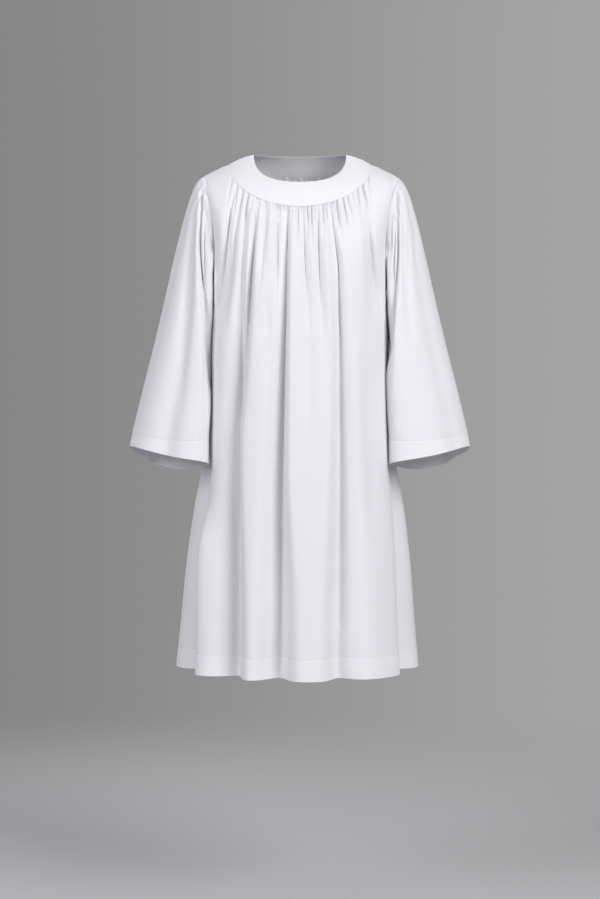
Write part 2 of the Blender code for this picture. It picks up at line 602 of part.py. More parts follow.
def main():
    for old in list(bpy.data.objects):
        bpy.data.objects.remove(old)
    solids([
        yoke(),
        body_panel("front", FRONT_ROWS, FRONT_FOLDS, FRONT_SIDE_FOLDS, -1),
        body_panel("back", BACK_ROWS, BACK_FOLDS, BACK_SIDE_FOLDS, 1),
        sleeve("sleeve_left", 1, SLEEVE_LEFT_FOLDS, 0.2),
        sleeve("sleeve_right", -1, SLEEVE_RIGHT_FOLDS, 0.7),
    ])


main()
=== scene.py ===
"""Dresses the surplice with fine cloth over its solids: gathers, creases, seams, hems and stitches.

It also makes the materials, the floor, the lights and the camera."""

import math

import bpy
import numpy as np
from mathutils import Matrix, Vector


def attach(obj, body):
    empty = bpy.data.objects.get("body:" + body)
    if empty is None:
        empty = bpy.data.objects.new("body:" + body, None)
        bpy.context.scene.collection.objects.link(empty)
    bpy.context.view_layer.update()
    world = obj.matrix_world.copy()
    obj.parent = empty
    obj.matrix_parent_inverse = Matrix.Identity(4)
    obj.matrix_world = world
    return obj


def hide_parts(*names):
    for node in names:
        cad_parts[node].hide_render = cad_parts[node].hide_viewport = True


bl_info = {
    "name": "Surplice",
    "version": (1, 0, 0),
    "blender": (4, 5, 0),
    "location": "3D View > Sidebar > Surplice",
    "description": "A plain white surplice of gathered cotton, with its hems, seams and stitches",
    "category": "Add Mesh",
}

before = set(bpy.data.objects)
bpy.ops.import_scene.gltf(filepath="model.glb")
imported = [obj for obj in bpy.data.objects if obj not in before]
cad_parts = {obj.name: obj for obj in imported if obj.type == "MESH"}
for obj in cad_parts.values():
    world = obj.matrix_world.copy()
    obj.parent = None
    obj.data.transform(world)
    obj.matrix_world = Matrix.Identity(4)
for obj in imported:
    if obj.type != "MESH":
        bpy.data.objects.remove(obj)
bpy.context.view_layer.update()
MM = 0.001

# ---- the cut, in millimetres: x to the wearer's left, y to the back, z up ------------------------
NECK_HALF_WIDTH = 99.0
YOKE_HALF_WIDTH = 151.0
YOKE_DROP = 20.0
SHOULDER_HALF_WIDTH = 213.0
SHOULDER_DROP = 50.0
UNDERARM_HALF_WIDTH = 182.0
UNDERARM_Z = -292.0
LENGTH = 1000.0
HEM_DEPTH = 45.0
HEM_RISE = 0.12
CUFF_DEPTH = 0.08
BACK_GATHERS = 28
HEAD_GATHERS = 12
TIP_ROW, UNDERARM_ROW = 80.0, 300.0

ARCH_COLUMNS = ("edge_x", "edge_z", "lead_x", "lead_y", "lead_z", "pull_x", "pull_z", "centre_y", "centre_z")
NECK_FRONT = (NECK_HALF_WIDTH, 0, 99, -60, -52, 60, -70, -85, -70)
NECK_BACK = (NECK_HALF_WIDTH, 0, 99, 50, 6, 60, 8, 76, 8)

ROW_COLUMNS = ("down", "lead_x", "lead_y", "lead_z", "pull_x", "pull_z", "centre_y", "centre_z", "margin")
FRONT_ROWS = (
    (0, 151, -98, -76, 88, -125, -118, -125, 0),
    (40, 176, -90, -62, 108, -158, -130, -163, 32),
    (80, 190, -72, -38, 120, -186, -140, -200, 60),
    (117, 190, -92, -80, 116, -221, -146, -235, 48),
    (153, 180, -108, -130, 112, -259, -150, -268, 26),
    (190, 170, -118, -198, 108, -298, -153, -303, 10),
    (227, 172, -116, -265, 118, -335, -155, -339, 8),
    (263, 178, -110, -320, 130, -372, -156, -374, 8),
    (300, 186, -114, -352, 142, -409, -157, -411, 6),
    (400, 190, -120, -441, 146, -509, -159, -510, 0),
    (500, 197, -118, -546, 146, -609, -161, -610, 0),
    (600, 208, -112, -652, 146, -709, -165, -709, 0),
    (700, 227, -104, -766, 142, -808, -170, -808, 0),
    (800, 235, -107, -888, 146, -908, -176, -908, 0),
    (900, 242, -110, -1008, 150, -1012, -183, -1012, 0),
    (1000, 250, -114, -1104, 154, -1110, -190, -1110, 0),
)
BACK_ROWS = (
    (0, 151, 62, -22, 95, -32, 108, -32, 0),
    (40, 180, 70, -30, 112, -66, 120, -68, 30),
    (80, 196, 72, -38, 128, -100, 128, -106, 56),
    (117, 196, 92, -74, 126, -138, 134, -146, 44),
    (153, 187, 110, -122, 122, -182, 138, -190, 24),
    (190, 176, 122, -188, 118, -232, 141, -238, 10),
    (227, 174, 124, -256, 118, -280, 143, -284, 8),
    (263, 180, 112, -316, 120, -330, 145, -332, 8),
    (300, 188, 98, -352, 124, -378, 146, -380, 6),
    (400, 194, 112, -440, 130, -486, 150, -487, 0),
    (500, 202, 126, -545, 134, -592, 155, -592, 0),
    (600, 212, 138, -650, 138, -696, 161, -696, 0),
    (700, 225, 146, -766, 142, -798, 168, -798, 0),
    (800, 238, 152, -888, 146, -902, 175, -902, 0),
    (900, 249, 158, -1008, 150, -1010, 182, -1010, 0),
    (1000, 256, 164, -1102, 154, -1107, 188, -1107, 0),
)

SIDE_COLUMNS = ("down", "x", "y", "z", "left_out", "right_out")
SIDE_SEAM = (
    (300, UNDERARM_HALF_WIDTH, 5, UNDERARM_Z, 0, 0),
    (340, 186, 14, -332, 0, 0),
    (400, 189, 26, -395, 0, 0),
    (500, 193, 40, -516, 0, 0),
    (600, 204, 50, -636, 2, 0),
    (700, 226, 56, -760, 4, 0),
    (800, 242, 58, -885, 6, -1),
    (900, 252, 60, -1008, 8, -2),
    (1000, 260, 60, -1102, 10, -2),
)

SLEEVE_COLUMNS = ("along", "outer_x", "outer_z", "front_x", "front_y", "front_z", "inner_x", "inner_y",
                  "inner_z", "back_x", "back_y", "back_z")
SLEEVE_ROWS = (
    (0.00, 213, -50, 183, -78, -165, 182, 5, -292, 183, 88, -165),
    (0.02, 222, -62, 190, -81, -170, 188, 3, -288, 190, 90, -170),
    (0.06, 233, -84, 197, -84, -184, 190, -2, -297, 199, 92, -184),
    (0.12, 244, -116, 201, -87, -208, 187.5, -12, -325, 208, 94, -210),
    (0.22, 258, -168, 207, -91, -256, 188, -28, -375, 219, 95, -260),
    (0.35, 275, -240, 217, -93, -325, 188, -42, -425, 232, 95, -332),
    (0.50, 294, -325, 231, -95, -405, 187, -50, -485, 247, 95, -415),
    (0.65, 315, -413, 246, -96, -487, 188, -54, -540, 262, 94, -500),
    (0.80, 342, -520, 262, -97, -558, 190, -58, -576, 277, 93, -582),
    (0.90, 360, -596, 272, -98, -606, 192, -60, -608, 286, 92, -626),
    (1.00, 366, -628, 281, -98, -645, 192, -60, -665, 292, 91, -672),
)

# ---- the large folds, as in the solids -----------------------------------------------------------
# depth is how far the cloth is drawn in and half is the fold's half width, at three levels (z, x).
FOLD_COLUMNS = ("z1", "x1", "depth1", "half1", "z2", "x2", "depth2", "half2", "z3", "x3", "depth3", "half3",
                "lean")
FRONT_FOLDS = (
    (-150, -148, 5, 9, -250, -154, 9, 11, -420, -168, 0, 16, 0.3),
    (-150, -132, 3, 8, -220, -138, 6, 9, -330, -150, 0, 12, 0),
    (-150, -112, 5, 9, -420, -131, 16, 14, -1120, -153, 48, 29, 0.7),
    (-160, -95, 5, 9, -320, -107, 11, 10, -560, -124, 0, 18, 0.5),
    (-130, -70, 5, 9, -190, -76, 5, 10, -300, -86, 0, 12, 0),
    (-200, -62, 0, 10, -360, -64, 5, 13, -560, -65, 0, 16, 0),
    (-120, -47, 6, 9, -220, -47, 6, 10, -330, -48, 0, 12, 0),
    (-120, -24, 7, 10, -440, -33, 22, 15, -1120, -49, 52, 32, 1.0),
    (-120, 8, 6, 9, -330, 17, 6, 13, -680, 20, 0, 20, 0.3),
    (-140, 39, 4, 9, -300, 44, 6, 12, -620, 54, 0, 20, 0.3),
    (-120, 60, 6, 9, -420, 82, 15, 15, -1120, 90, 42, 31, -0.5),
    (-110, 78, 4, 8, -160, 86, 4, 9, -220, 96, 0, 11, 0),
    (-100, 98, 4, 8, -150, 104, 4, 9, -210, 112, 0, 11, 0),
    (-150, 140, 5, 10, -260, 152, 8, 12, -400, 160, 0, 16, 0),
    (-330, 134, 0, 14, -600, 150, 5, 20, -860, 160, 0, 26, 0),
)
BACK_FOLDS = (
    (-90, -120, 5, 10, -420, -142, 13, 16, -1120, -150, 36, 30, 0.4),
    (-90, -82, 5, 9, -300, -96, 8, 13, -560, -104, 0, 20, 0),
    (-90, -44, 6, 10, -460, -58, 16, 16, -1120, -66, 40, 29, -0.4),
    (-90, -12, 5, 9, -320, -14, 7, 14, -640, -12, 0, 20, 0),
    (-90, 26, 6, 10, -460, 34, 15, 16, -1120, 28, 38, 28, 0.5),
    (-90, 64, 5, 9, -300, 74, 8, 13, -600, 82, 0, 20, 0),
    (-90, 104, 5, 10, -420, 122, 13, 16, -1120, 120, 38, 30, -0.4),
    (-90, 138, 4, 9, -260, 154, 7, 12, -420, 164, 0, 16, 0),
)
SIDE_FOLD_COLUMNS = ("side", "z1", "from_seam1", "depth1", "z2", "from_seam2", "depth2", "z3", "from_seam3",
                     "depth3", "half1", "half3")
FRONT_SIDE_FOLDS = (
    (-1, -400, 60, 0, -640, 86, 13, -1120, 112, 52, 28, 37),
    (-1, -740, 132, 0, -850, 142, -18, -1120, 154, -10, 26, 34),
    (1, -400, 60, 0, -640, 86, 13, -1120, 110, 46, 28, 37),
)
BACK_SIDE_FOLDS = (
    (-1, -460, 66, 0, -800, 80, 20, -1120, 92, 36, 26, 36),
    (1, -460, 66, 0, -800, 80, 20, -1120, 92, 36, 26, 36),
)
SLEEVE_FOLD_COLUMNS = ("along1", "angle1", "depth1", "along2", "angle2", "depth2", "along3", "angle3",
                       "depth3", "half1", "half3")
SLEEVE_LEFT_FOLDS = (
    (0.03, 74, 5, 0.22, 126, 10, 0.55, 148, 0, 9, 12),
    (0.03, 46, 3, 0.25, 74, 4, 0.60, 88, 0, 8, 12),
    (0.06, 24, 2, 0.45, 48, 4, 1.10, 52, 5, 9, 16),
    (0.06, -30, 4, 0.40, -48, 9, 1.10, -50, 14, 9, 16),
    (0.12, 205, 0, 0.55, 210, 10, 1.10, 214, 13, 18, 22),
)
SLEEVE_RIGHT_FOLDS = (
    (0.03, 72, 6, 0.28, 130, 14, 0.78, 150, 0, 11, 13),
    (0.06, 40, 3, 0.45, 74, 8, 1.10, 88, 12, 9, 18),
    (0.06, 12, 2, 0.40, 18, 4, 1.00, 16, 0, 9, 14),
    (0.06, -30, 4, 0.40, -46, 9, 1.10, -52, 13, 9, 16),
    (0.12, 205, 0, 0.55, 210, 10, 1.10, 214, 13, 18, 22),
)

# ---- what the fine cloth adds --------------------------------------------------------------------
# A crease is a narrow tuck. lean is how much steeper its side towards the wearer's left is than the other.
CREASE_COLUMNS = ("z1", "x1", "depth1", "half1", "z2", "x2", "depth2", "half2", "z3", "x3", "depth3", "half3",
                  "lean")
FRONT_CREASES = (
    (-80, -136, 3.0, 3.6, -222, -162, 11.0, 4.0, -430, -178, 0, 8, 0.5),
    (-88, -124, 3.0, 3.4, -205, -141, 5.0, 4.0, -330, -151, 0, 8, 0.4),
    (-96, -110, 3.4, 3.4, -330, -131, 8.0, 6.0, -560, -138, 8.0, 14, 0.2),
    (-106, -84, 3.6, 3.2, -320, -109, 12.0, 5.0, -600, -122, 0, 12, 0.8),
    (-300, -71, 0, 8, -360, -69, 4.0, 9, -500, -67, 0, 14, 0.2),
    (-113, -64, 3.0, 3.0, -230, -79, 3.0, 5.0, -330, -86, 0, 7, 0.2),
    (-114, -48, 4.0, 3.0, -222, -47, 7.0, 3.6, -380, -54, 0, 9, 0.3),
    (-116, -24, 4.5, 3.0, -340, -29, 7.0, 4.0, -700, -36, 0, 9, 0.8),
    (-117, 7, 4.0, 3.0, -222, 10, 7.5, 3.6, -400, 19, 0, 9, 0.3),
    (-380, 17, 0, 9, -500, 17, 2.4, 10, -640, 17, 0, 12, 0.1),
    (-116, 38, 3.4, 3.0, -222, 40, 9.0, 3.8, -400, 46, 0, 9, 0.3),
    (-113, 64, 5.5, 3.0, -280, 84, 12.0, 4.6, -640, 92, 0, 10, 0.0),
    (-128, 138, 0, 4, -225, 157, 10.0, 4.0, -340, 165, 0, 8, 0.3),
    (-330, -126, 0, 9, -600, -139, 7.0, 13, -1100, -154, 6.0, 22, 0.5),
    (-330, -30, 0, 9, -600, -37, 8.5, 16, -1100, -49, 6.0, 26, 0.8),
    (-330, 76, 0, 9, -600, 88, 7.0, 16, -1000, 94, 5.0, 22, -0.1),
    (-330, 137, 0, 10, -600, 151, 3.0, 12, -860, 158, 0, 16, 0.3),
)
# The short gathers run from the yoke seam at x_seam down to (x_end, z_end), where they have died out.
GATHER_COLUMNS = ("x_seam", "x_end", "z_end", "depth", "half", "lean")
FRONT_GATHERS = (
    (-143, -160, -164, 3.4, 3.4, 0.3),
    (-131, -148, -200, 4.7, 3.1, 0.4),
    (-119, -142, -226, 5.2, 2.9, 0.4),
    (-107, -126, -210, 4.9, 2.7, 0.3),
    (-98, -114, -184, 3.4, 2.5, 0.3),
    (-90, -104, -219, 5.2, 2.7, 0.4),
    (-76, -88, -204, 3.8, 2.7, 0.3),
    (-70, -82, -250, 5.5, 2.9, 0.4),
    (-57, -62, -186, 3.4, 2.5, 0.3),
    (-42, -44, -210, 4.7, 2.7, 0.4),
    (-35, -36, -174, 3.4, 2.5, 0.3),
    (-17, -18, -228, 4.7, 2.7, 0.3),
    (-11, -12, -190, 4.3, 2.5, 0.3),
    (-4, -4, -274, 6.7, 2.7, 0.4),
    (2, 3, -174, 4.3, 2.5, 0.2),
    (16, 17, -220, 7.2, 2.7, 0.3),
    (24, 26, -260, 8.7, 2.7, 0.4),
    (31, 33, -194, 5.6, 2.5, 0.3),
    (48, 52, -238, 7.9, 2.7, 0.3),
    (55, 61, -204, 6.4, 2.5, 0.3),
    (70, 82, -200, 6.4, 2.5, 0.2),
    (77, 92, -230, 8.7, 2.7, 0.3),
    (91, 112, -228, 7.9, 2.7, 0.3),
    (100, 116, -180, 5.6, 2.5, 0.2),
    (110, 122, -172, 5.3, 2.7, 0.2),
    (121, 136, -192, 6.4, 2.9, 0.3),
    (132, 156, -182, 8.7, 3.2, 0.3),
    (144, 158, -152, 5.3, 3.2, 0.2),
)
BACK_CREASES = (
    (-60, -126, 2.0, 4, -260, -137, 4.0, 6, -520, -146, 0, 12, -0.4),
    (-46, -98, 2.4, 4, -300, -109, 4.2, 6, -760, -118, 0, 14, 0.4),
    (-38, -62, 2.6, 4, -320, -66, 4.8, 6, -820, -72, 0, 14, -0.5),
    (-34, -31, 2.4, 4, -240, -34, 3.2, 5, -480, -36, 0, 10, 0.3),
    (-33, 2, 2.8, 4, -300, 5, 4.6, 6, -900, 10, 0, 14, 0.5),
    (-35, 41, 2.4, 4, -260, 44, 3.6, 5, -560, 48, 0, 12, -0.4),
    (-40, 72, 2.6, 4, -320, 82, 4.6, 6, -780, 88, 0, 14, 0.4),
    (-50, 108, 2.2, 4, -280, 122, 4.0, 6, -640, 132, 0, 12, -0.3),
    (-62, 132, 2.0, 4, -240, 144, 3.4, 5, -420, 152, 0, 10, 0.3),
)
# Creases over the front of each sleeve, then over the back of both, with x as on the wearer's left.
SLEEVE_LEFT_CREASES = (
    (-90, 211, 9, 3, -230, 209, 15.0, 4, -330, 197, 5, 7, 0.4),
    (-230, 209, 0, 5, -320, 199, 14.0, 8, -470, 183, 6, 8, 0.9),
    (-92, 197, 3, 3, -140, 193, 9.0, 3, -250, 190, 0, 6, 0.0),
    (-100, 231, 0, 5, -200, 231, 2.0, 6, -420, 230, 0, 9, 0.2),
    (-150, 247, 0, 6, -205, 248, 1.8, 6, -300, 256, 0, 9, 0.2),
)
SLEEVE_RIGHT_CREASES = (
    (-90, 210, 9, 3, -190, 214.5, 15.0, 4, -340, 203, 4, 7, 0.6),
    (-230, 211, 0, 6, -330, 204, 13.0, 10, -500, 195, 5, 8, 0.9),
    (-96, 197, 0, 4, -150, 194, 5.0, 4, -230, 191, 0, 6, 0.2),
    (-110, 228, 0, 7, -260, 240, 7.0, 12, -600, 254, 0, 18, 0.0),
    (-92, 240, 0, 5, -150, 244, 1.6, 6, -260, 256, 0, 9, 0.0),
)
SLEEVE_BACK_CREASES = (
    (-96, 208, 0, 5, -190, 206, 3.4, 6, -400, 200, 0, 10, 0.2),
    (-100, 228, 0, 5, -220, 236, 2.6, 7, -460, 246, 0, 12, 0.2),
    (-110, 244, 0, 5, -200, 254, 1.8, 7, -340, 268, 0, 12, 0.0),
)
SEAM_DIP = 0.9  # the cloth is drawn in this far along a seam
SEAM_DIP_HALF = 3.2
HEM_DIP = 0.35  # and this far along the row of stitches over a hem
PUFF = 1.4  # the gathered cloth stands out this far just below the yoke
YOKE_CROWN = 2.5  # the yoke's middle stands out this far
BODY_MIDDLE = (0.0, 0.0, -260.0)  # the yoke stands out away from here
SEAM_FORWARD = 14  # sleeve and body are drawn this far forward where they meet in front of the arm
# The front stands out this far beside the sleeves: heights, then how far to the wearer's left and right.
SIDE_OUT = ((-200, -290, -580, -680), (0, 2.2, 2.2, 0), (0, 5, 5, 0))
# A sleeve lies closer to the body under the arm: shares of its length, angles, how far, and a half width.
CLOSE_BOTH = ((0, 0.01, 0.04, 0.20, 0.30, 1), (180,) * 6, (0, 0, 2.0, 2.0, 0, 0), 30)
CLOSE_ALONGS = (0, 0.01, 0.04, 0.12, 0.35, 0.6, 1)
CLOSE_ANGLES = (118, 118, 124, 146, 152, 170, 176)
CLOSE_LEFT = (CLOSE_ALONGS, CLOSE_ANGLES, (0, 0, 5, 6, 6, 5, 5), 22)
CLOSE_RIGHT = (CLOSE_ALONGS, CLOSE_ANGLES, (0, 0, 5, 5, 4, 0, 0), 22)
# A sleeve lies further back inside its front fold: heights, the fold's x, and how far back.
WEDGE_LEFT = ((-180, -260, -330, -400, -450, -480), (210, 205, 198, 190, 185, 182), (0, 2, 4, 6, 5, 0))
WEDGE_RIGHT = ((-180, -260, -330, -400, -450, -540), (213, 209, 203, 202, 197.5, 190), (0, 5, 10, 18, 20, 0))

# ---- how finely the cloth is made ----------------------------------------------------------------
HEM = LENGTH - HEM_DEPTH
HEM_STITCHES = HEM + 2
HEM_DOWNS = (HEM - 8, HEM - 4, HEM - 2, HEM - 1, HEM, HEM + 1, HEM_STITCHES, HEM + 5, HEM + 14, HEM + 24,
             HEM + 34, HEM + 41, HEM + 44, LENGTH)
FRONT_DOWNS = (*np.arange(0, 40, 2.5), *np.arange(40, 300, 4.5), *np.arange(300, HEM - 10, 10), *HEM_DOWNS)
BACK_DOWNS = (*np.arange(0, 40, 3), *np.arange(40, 300, 6.5), *np.arange(300, HEM - 10, 13), *HEM_DOWNS)
FRONT_STEPS, BACK_STEPS = 296, 260
EVENING_ROUNDS = 60
CUFF = 1 - CUFF_DEPTH
CUFF_STITCHES = CUFF + 0.004
SLEEVE_ALONGS = (*np.linspace(0, 0.04, 9)[:-1], *np.linspace(0.04, 0.35, 34)[:-1],
                 *np.linspace(0.35, CUFF - 0.012, 38), CUFF - 0.006, CUFF - 0.003, CUFF - 0.0015, CUFF,
                 CUFF + 0.0015, CUFF_STITCHES, CUFF + 0.012, CUFF + 0.026, CUFF + 0.042, CUFF + 0.053, 1.0)
SLEEVE_TURN = np.linspace(0, 1, 281)
# The columns of a sleeve lie closest together at its front fold.
SLEEVE_SHARES = SLEEVE_TURN + 0.08 * (1 - np.cos(2 * math.pi * SLEEVE_TURN))
YOKE_STEPS, YOKE_ROWS = 200, 16
YOKE_WIDTH, SLEEVE_LENGTH = 52, 620  # in the flat, for the threads of the cloth
YOKE_ROUND, SLEEVE_ROUND = 1.0, 0.66  # how far round each is in the flat, in metres
FOLD_DEGREES = 60  # a turn sharper than this stays sharp

# ---- hems and stitches, with the walls in thicknesses of the single cloth ------------------------
HEM_IN = 1.2  # a turned-up hem adds this much on the inside
YOKE_OUT, YOKE_IN = 1.3, 0.7
STITCH_LIFT, YOKE_STITCH_LIFT = 0.05, 0.1  # how far stitches stand off the cloth, in millimetres
YOKE_STITCH_ROW = 0.55  # how far in from the yoke's edge its stitches lie, as a share of the last row
STITCH_SHARE = 0.76  # a stitch's length as a share of the pitch

# ---- the stage, in metres ------------------------------------------------------------------------
FLOOR_RADIUS, FLOOR_CORNERS = 3.4, 64
LIGHT_TARGET = (0, 0, -0.6)
PIXEL = 0.00215  # what one pixel of the camera's view shows at the neck's distance
VIEW_PIXELS = 899  # the height of that view


def table(columns, rows):
    """The rows as one array for each named column."""
    return {name: np.array([row[i] for row in rows], float) for i, name in enumerate(columns)}


def records(columns, rows):
    """The rows as dictionaries, with the columns' names for keys."""
    return [dict(zip(columns, row)) for row in rows]


def rise(value, start, reach):
    """0 up to start and 1 from start + reach, with a soft slope between them."""
    x = np.clip((value - start) / reach, 0.0, 1.0)
    return x * x * (3.0 - 2.0 * x)


def fall(value, start, reach):
    """1 up to start and 0 from start + reach."""
    return 1 - rise(value, start, reach)


def unit(v):
    """The vectors at length 1."""
    return v / np.maximum(np.linalg.norm(v, axis=-1, keepdims=True), 1e-9)


def curve(xs, ys, x):
    """A smooth curve through the points (xs, ys) that never overshoots them."""
    xs, ys, x = np.asarray(xs, float), np.asarray(ys, float), np.asarray(x, float)
    step = np.diff(xs)
    slope = np.diff(ys) / step
    tangent = np.zeros(len(xs))
    tangent[0], tangent[-1] = slope[0], slope[-1]
    for i in range(1, len(xs) - 1):
        if slope[i - 1] * slope[i] > 0:
            w1, w2 = 2 * step[i] + step[i - 1], step[i] + 2 * step[i - 1]
            tangent[i] = (w1 + w2) / (w1 / slope[i - 1] + w2 / slope[i])
    i = np.clip(np.searchsorted(xs, x, side="right") - 1, 0, len(step) - 1)
    h = step[i]
    t = np.clip((x - xs[i]) / h, 0.0, 1.0)
    return ((1 + 2 * t) * (1 - t) ** 2 * ys[i] + t * (1 - t) ** 2 * h * tangent[i]
            + t * t * (3 - 2 * t) * ys[i + 1] + t * t * (t - 1) * h * tangent[i + 1])


def bezier(p0, p1, p2, p3, t):
    """Points at t on a curve from p0 to p3 that p1 and p2 draw towards themselves."""
    t = t[:, None]
    return (1 - t) ** 3 * p0 + 3 * t * (1 - t) ** 2 * p1 + 3 * t * t * (1 - t) * p2 + t ** 3 * p3


def run_of(line):
    """How far along a line each of its points is."""
    return np.concatenate([[0.0], np.cumsum(np.linalg.norm(np.diff(line, axis=0), axis=1))])


def place(line, distances):
    """The points of a line at the given distances along it."""
    run = run_of(line)
    return np.stack([np.interp(distances, run, line[:, k]) for k in range(3)], axis=1)


def arch(right_edge, left_edge, lead, pull, centre):
    """A row that runs from the wearer's right edge over the centre to the left edge."""
    t = np.linspace(0, 1, 360)
    halves = []
    for side, edge in ((-1, right_edge), (1, left_edge)):
        mirror = np.array([side, 1, 1])
        halves.append(bezier(edge, lead * mirror, pull * mirror, centre, t))
    return np.vstack([halves[0], halves[1][::-1][1:]])


SIDE = table(SIDE_COLUMNS, SIDE_SEAM)
SLEEVE = table(SLEEVE_COLUMNS, SLEEVE_ROWS)


def sleeve_ring(along, angle):
    """Points round the wearer's left sleeve: angle 0 is its outer side, 90 degrees its front."""
    def guide(name):
        """One column of the sleeve's table, at this share of its length."""
        return curve(SLEEVE["along"], SLEEVE[name], along)

    outer = np.array([guide("outer_x"), 0.0, guide("outer_z")])
    front, inner, back = (np.array([guide(f"{line}_{axis}") for axis in "xyz"])
                          for line in ("front", "inner", "back"))
    middle = (outer + front + inner + back) / 4
    squash = ((outer + inner) - (front + back)) / 4
    angle = np.asarray(angle)[:, None]
    return (middle + (outer - inner) / 2 * np.cos(angle) + (front - back) / 2 * np.sin(angle)
            + squash * np.cos(2 * angle))


def edge_point(down, side, half):
    """A point on a body panel's edge: along the shoulder, round the armhole, then down the side seam."""
    if down <= TIP_ROW:
        share = down / TIP_ROW
        x = YOKE_HALF_WIDTH + (SHOULDER_HALF_WIDTH - YOKE_HALF_WIDTH) * share
        return np.array([side * x, 0.0, -YOKE_DROP - (SHOULDER_DROP - YOKE_DROP) * share ** 1.25])
    if down <= UNDERARM_ROW:
        angle = math.pi * (down - TIP_ROW) / (UNDERARM_ROW - TIP_ROW) * -half
        return sleeve_ring(0.0, [angle])[0] * np.array([side, 1, 1])
    out = curve(SIDE["down"], SIDE["left_out" if side < 0 else "right_out"], down)
    x, y, z = (curve(SIDE["down"], SIDE[axis], down) for axis in "xyz")
    return np.array([side * (x + out), y, z])


def panel_row(rows, half, down):
    """One row across a body panel, from the wearer's right seam to the left one."""
    lead, pull = (np.array([curve(rows["down"], rows[name], down) for name in names])
                  for names in (("lead_x", "lead_y", "lead_z"), ("pull_x", "centre_y", "pull_z")))
    centre = np.array([0.0, curve(rows["down"], rows["centre_y"], down),
                       curve(rows["down"], rows["centre_z"], down)])
    return arch(edge_point(down, -1, half), edge_point(down, 1, half), lead, pull, centre)


# ---- folds, creases and gathers ------------------------------------------------------------------
def path_of(fold, across, z):
    """A fold's three levels, and at each height how far across it is and how deep."""
    levels = np.array([-fold["z1"], -fold["z2"], -fold["z3"]])
    path = curve(levels, [fold[across + n] for n in "123"], -z)
    return levels, path, curve(levels, [fold["depth" + n] for n in "123"], -z)


def fold_depth(fold, x, z):
    """How far a large fold draws the cloth in. Its lean dies out towards the hem."""
    levels, path, depth = path_of(fold, "x", z)
    half = curve(levels, [fold["half1"], fold["half2"], fold["half3"]], -z)
    start = rise(-z, levels[0] - 30, 40)
    end = fall(-z, levels[2], 30)
    away = (x - path) / half
    lean = fold["lean"] * (1 - 0.75 * rise(-z, 650, 350))
    reach = 1 + np.abs(lean) * np.where(away * lean > 0, -0.6, 0.35)
    return depth * start * end * np.exp(-(away / reach) ** 2)


def tuck(away, half, lean):
    """The profile of a narrow tuck: pointed at the bottom, and steeper on one side."""
    reach = np.where(away > 0, half * (1 - 0.55 * lean), half * (1 + 0.9 * lean))
    t = np.abs(away) / reach
    return np.exp(-(np.sqrt(t * t + 0.04) - 0.2) * 1.7)


def crease_depth(crease, x, z):
    """How far a narrow crease draws the cloth in."""
    levels, path, depth = path_of(crease, "x", z)
    half = curve(levels, [crease["half1"], crease["half2"], crease["half3"]], -z)
    start = rise(-z, levels[0] - 24, 30)
    end = fall(-z, levels[2] - 12, 24)
    return depth * start * end * tuck(x - path, half, crease["lean"])


def gather_tuck(gather, x, z, seam_z):
    """How far a short gather draws the cloth in: most at the yoke seam, and wider lower down."""
    t = np.clip((seam_z - z) / (seam_z - gather["z_end"]), 0, 1)
    path = gather["x_seam"] + (gather["x_end"] - gather["x_seam"]) * t
    profile = tuck(x - path, gather["half"] * (1 + 0.8 * t), gather["lean"])
    return gather["depth"] * fall(t * 1.05, 0.05, 1) * profile


def side_fold_depth(fold, from_seam, z):
    """How far a fold that is placed by its distance from a side seam draws the cloth in."""
    levels, path, depth = path_of(fold, "from_seam", z)
    half = np.interp(-z, [levels[0], levels[2]], [fold["half1"], fold["half3"]])
    start = rise(-z, levels[0] - 60, 60)
    return depth * start * rise(from_seam, 0, 30) * np.exp(-((from_seam - path) / half) ** 2)


def back_gathers(share, down):
    """Gathers are sharpest just below the seam. Neighbours then join and die out."""
    share = share + 0.010 * np.sin(2 * math.pi * (5 * share + 0.4)) + 0.003 * np.sin(22 * math.pi * share)
    uneven = 1 + 0.28 * np.sin(2 * math.pi * (3.7 * share + 0.3)) + 0.2 * np.sin(2 * math.pi * 8.3 * share)
    edge = rise(share, 0, 0.05) * rise(1 - share, 0, 0.05)
    first = rise(down, 4, 14) * fall(down, 25, 85)
    second = rise(down, 15, 60) * fall(down, 110, 170)
    sharp, soft = (np.cos(math.pi * k * share) for k in (2 * BACK_GATHERS, BACK_GATHERS))
    return edge * uneven * (2.2 * first * (np.exp(1.6 * sharp) / 2.2 - 0.5)
                            + 2.0 * second * (np.exp(1.4 * soft) / 2 - 0.5))


def front_gathers(points):
    """The front's gathers, each where it lies along the yoke seam."""
    x, z = points[..., 0], points[..., 2]
    seam = points[0]
    depth = np.zeros(x.shape)
    for gather in records(GATHER_COLUMNS, FRONT_GATHERS):
        seam_z = np.interp(gather["x_seam"], seam[:, 0], seam[:, 2])
        depth += gather_tuck(gather, x, z, seam_z)
    return depth


# ---- grids of cloth ------------------------------------------------------------------------------
def ways_out(grid, flip, ring=False):
    """The way out of the cloth at each point of a grid of rows and columns."""
    across = np.roll(grid, -1, 1) - np.roll(grid, 1, 1) if ring else np.gradient(grid, axis=1)
    return unit(np.cross(across, np.gradient(grid, axis=0))) * flip


def forward(grid):
    """Draws the cloth of body and sleeve forward together beside the front of the armhole."""
    x, y, z = np.abs(grid[..., 0]), grid[..., 1], grid[..., 2]
    share = rise(x, 170, 9) * fall(x, 192, 12) * rise(y, -86, 22) * fall(y, -30, 30)
    grid[..., 1] -= SEAM_FORWARD * share * rise(-z, 200, 30) * fall(-z, 310, 70)
    return grid


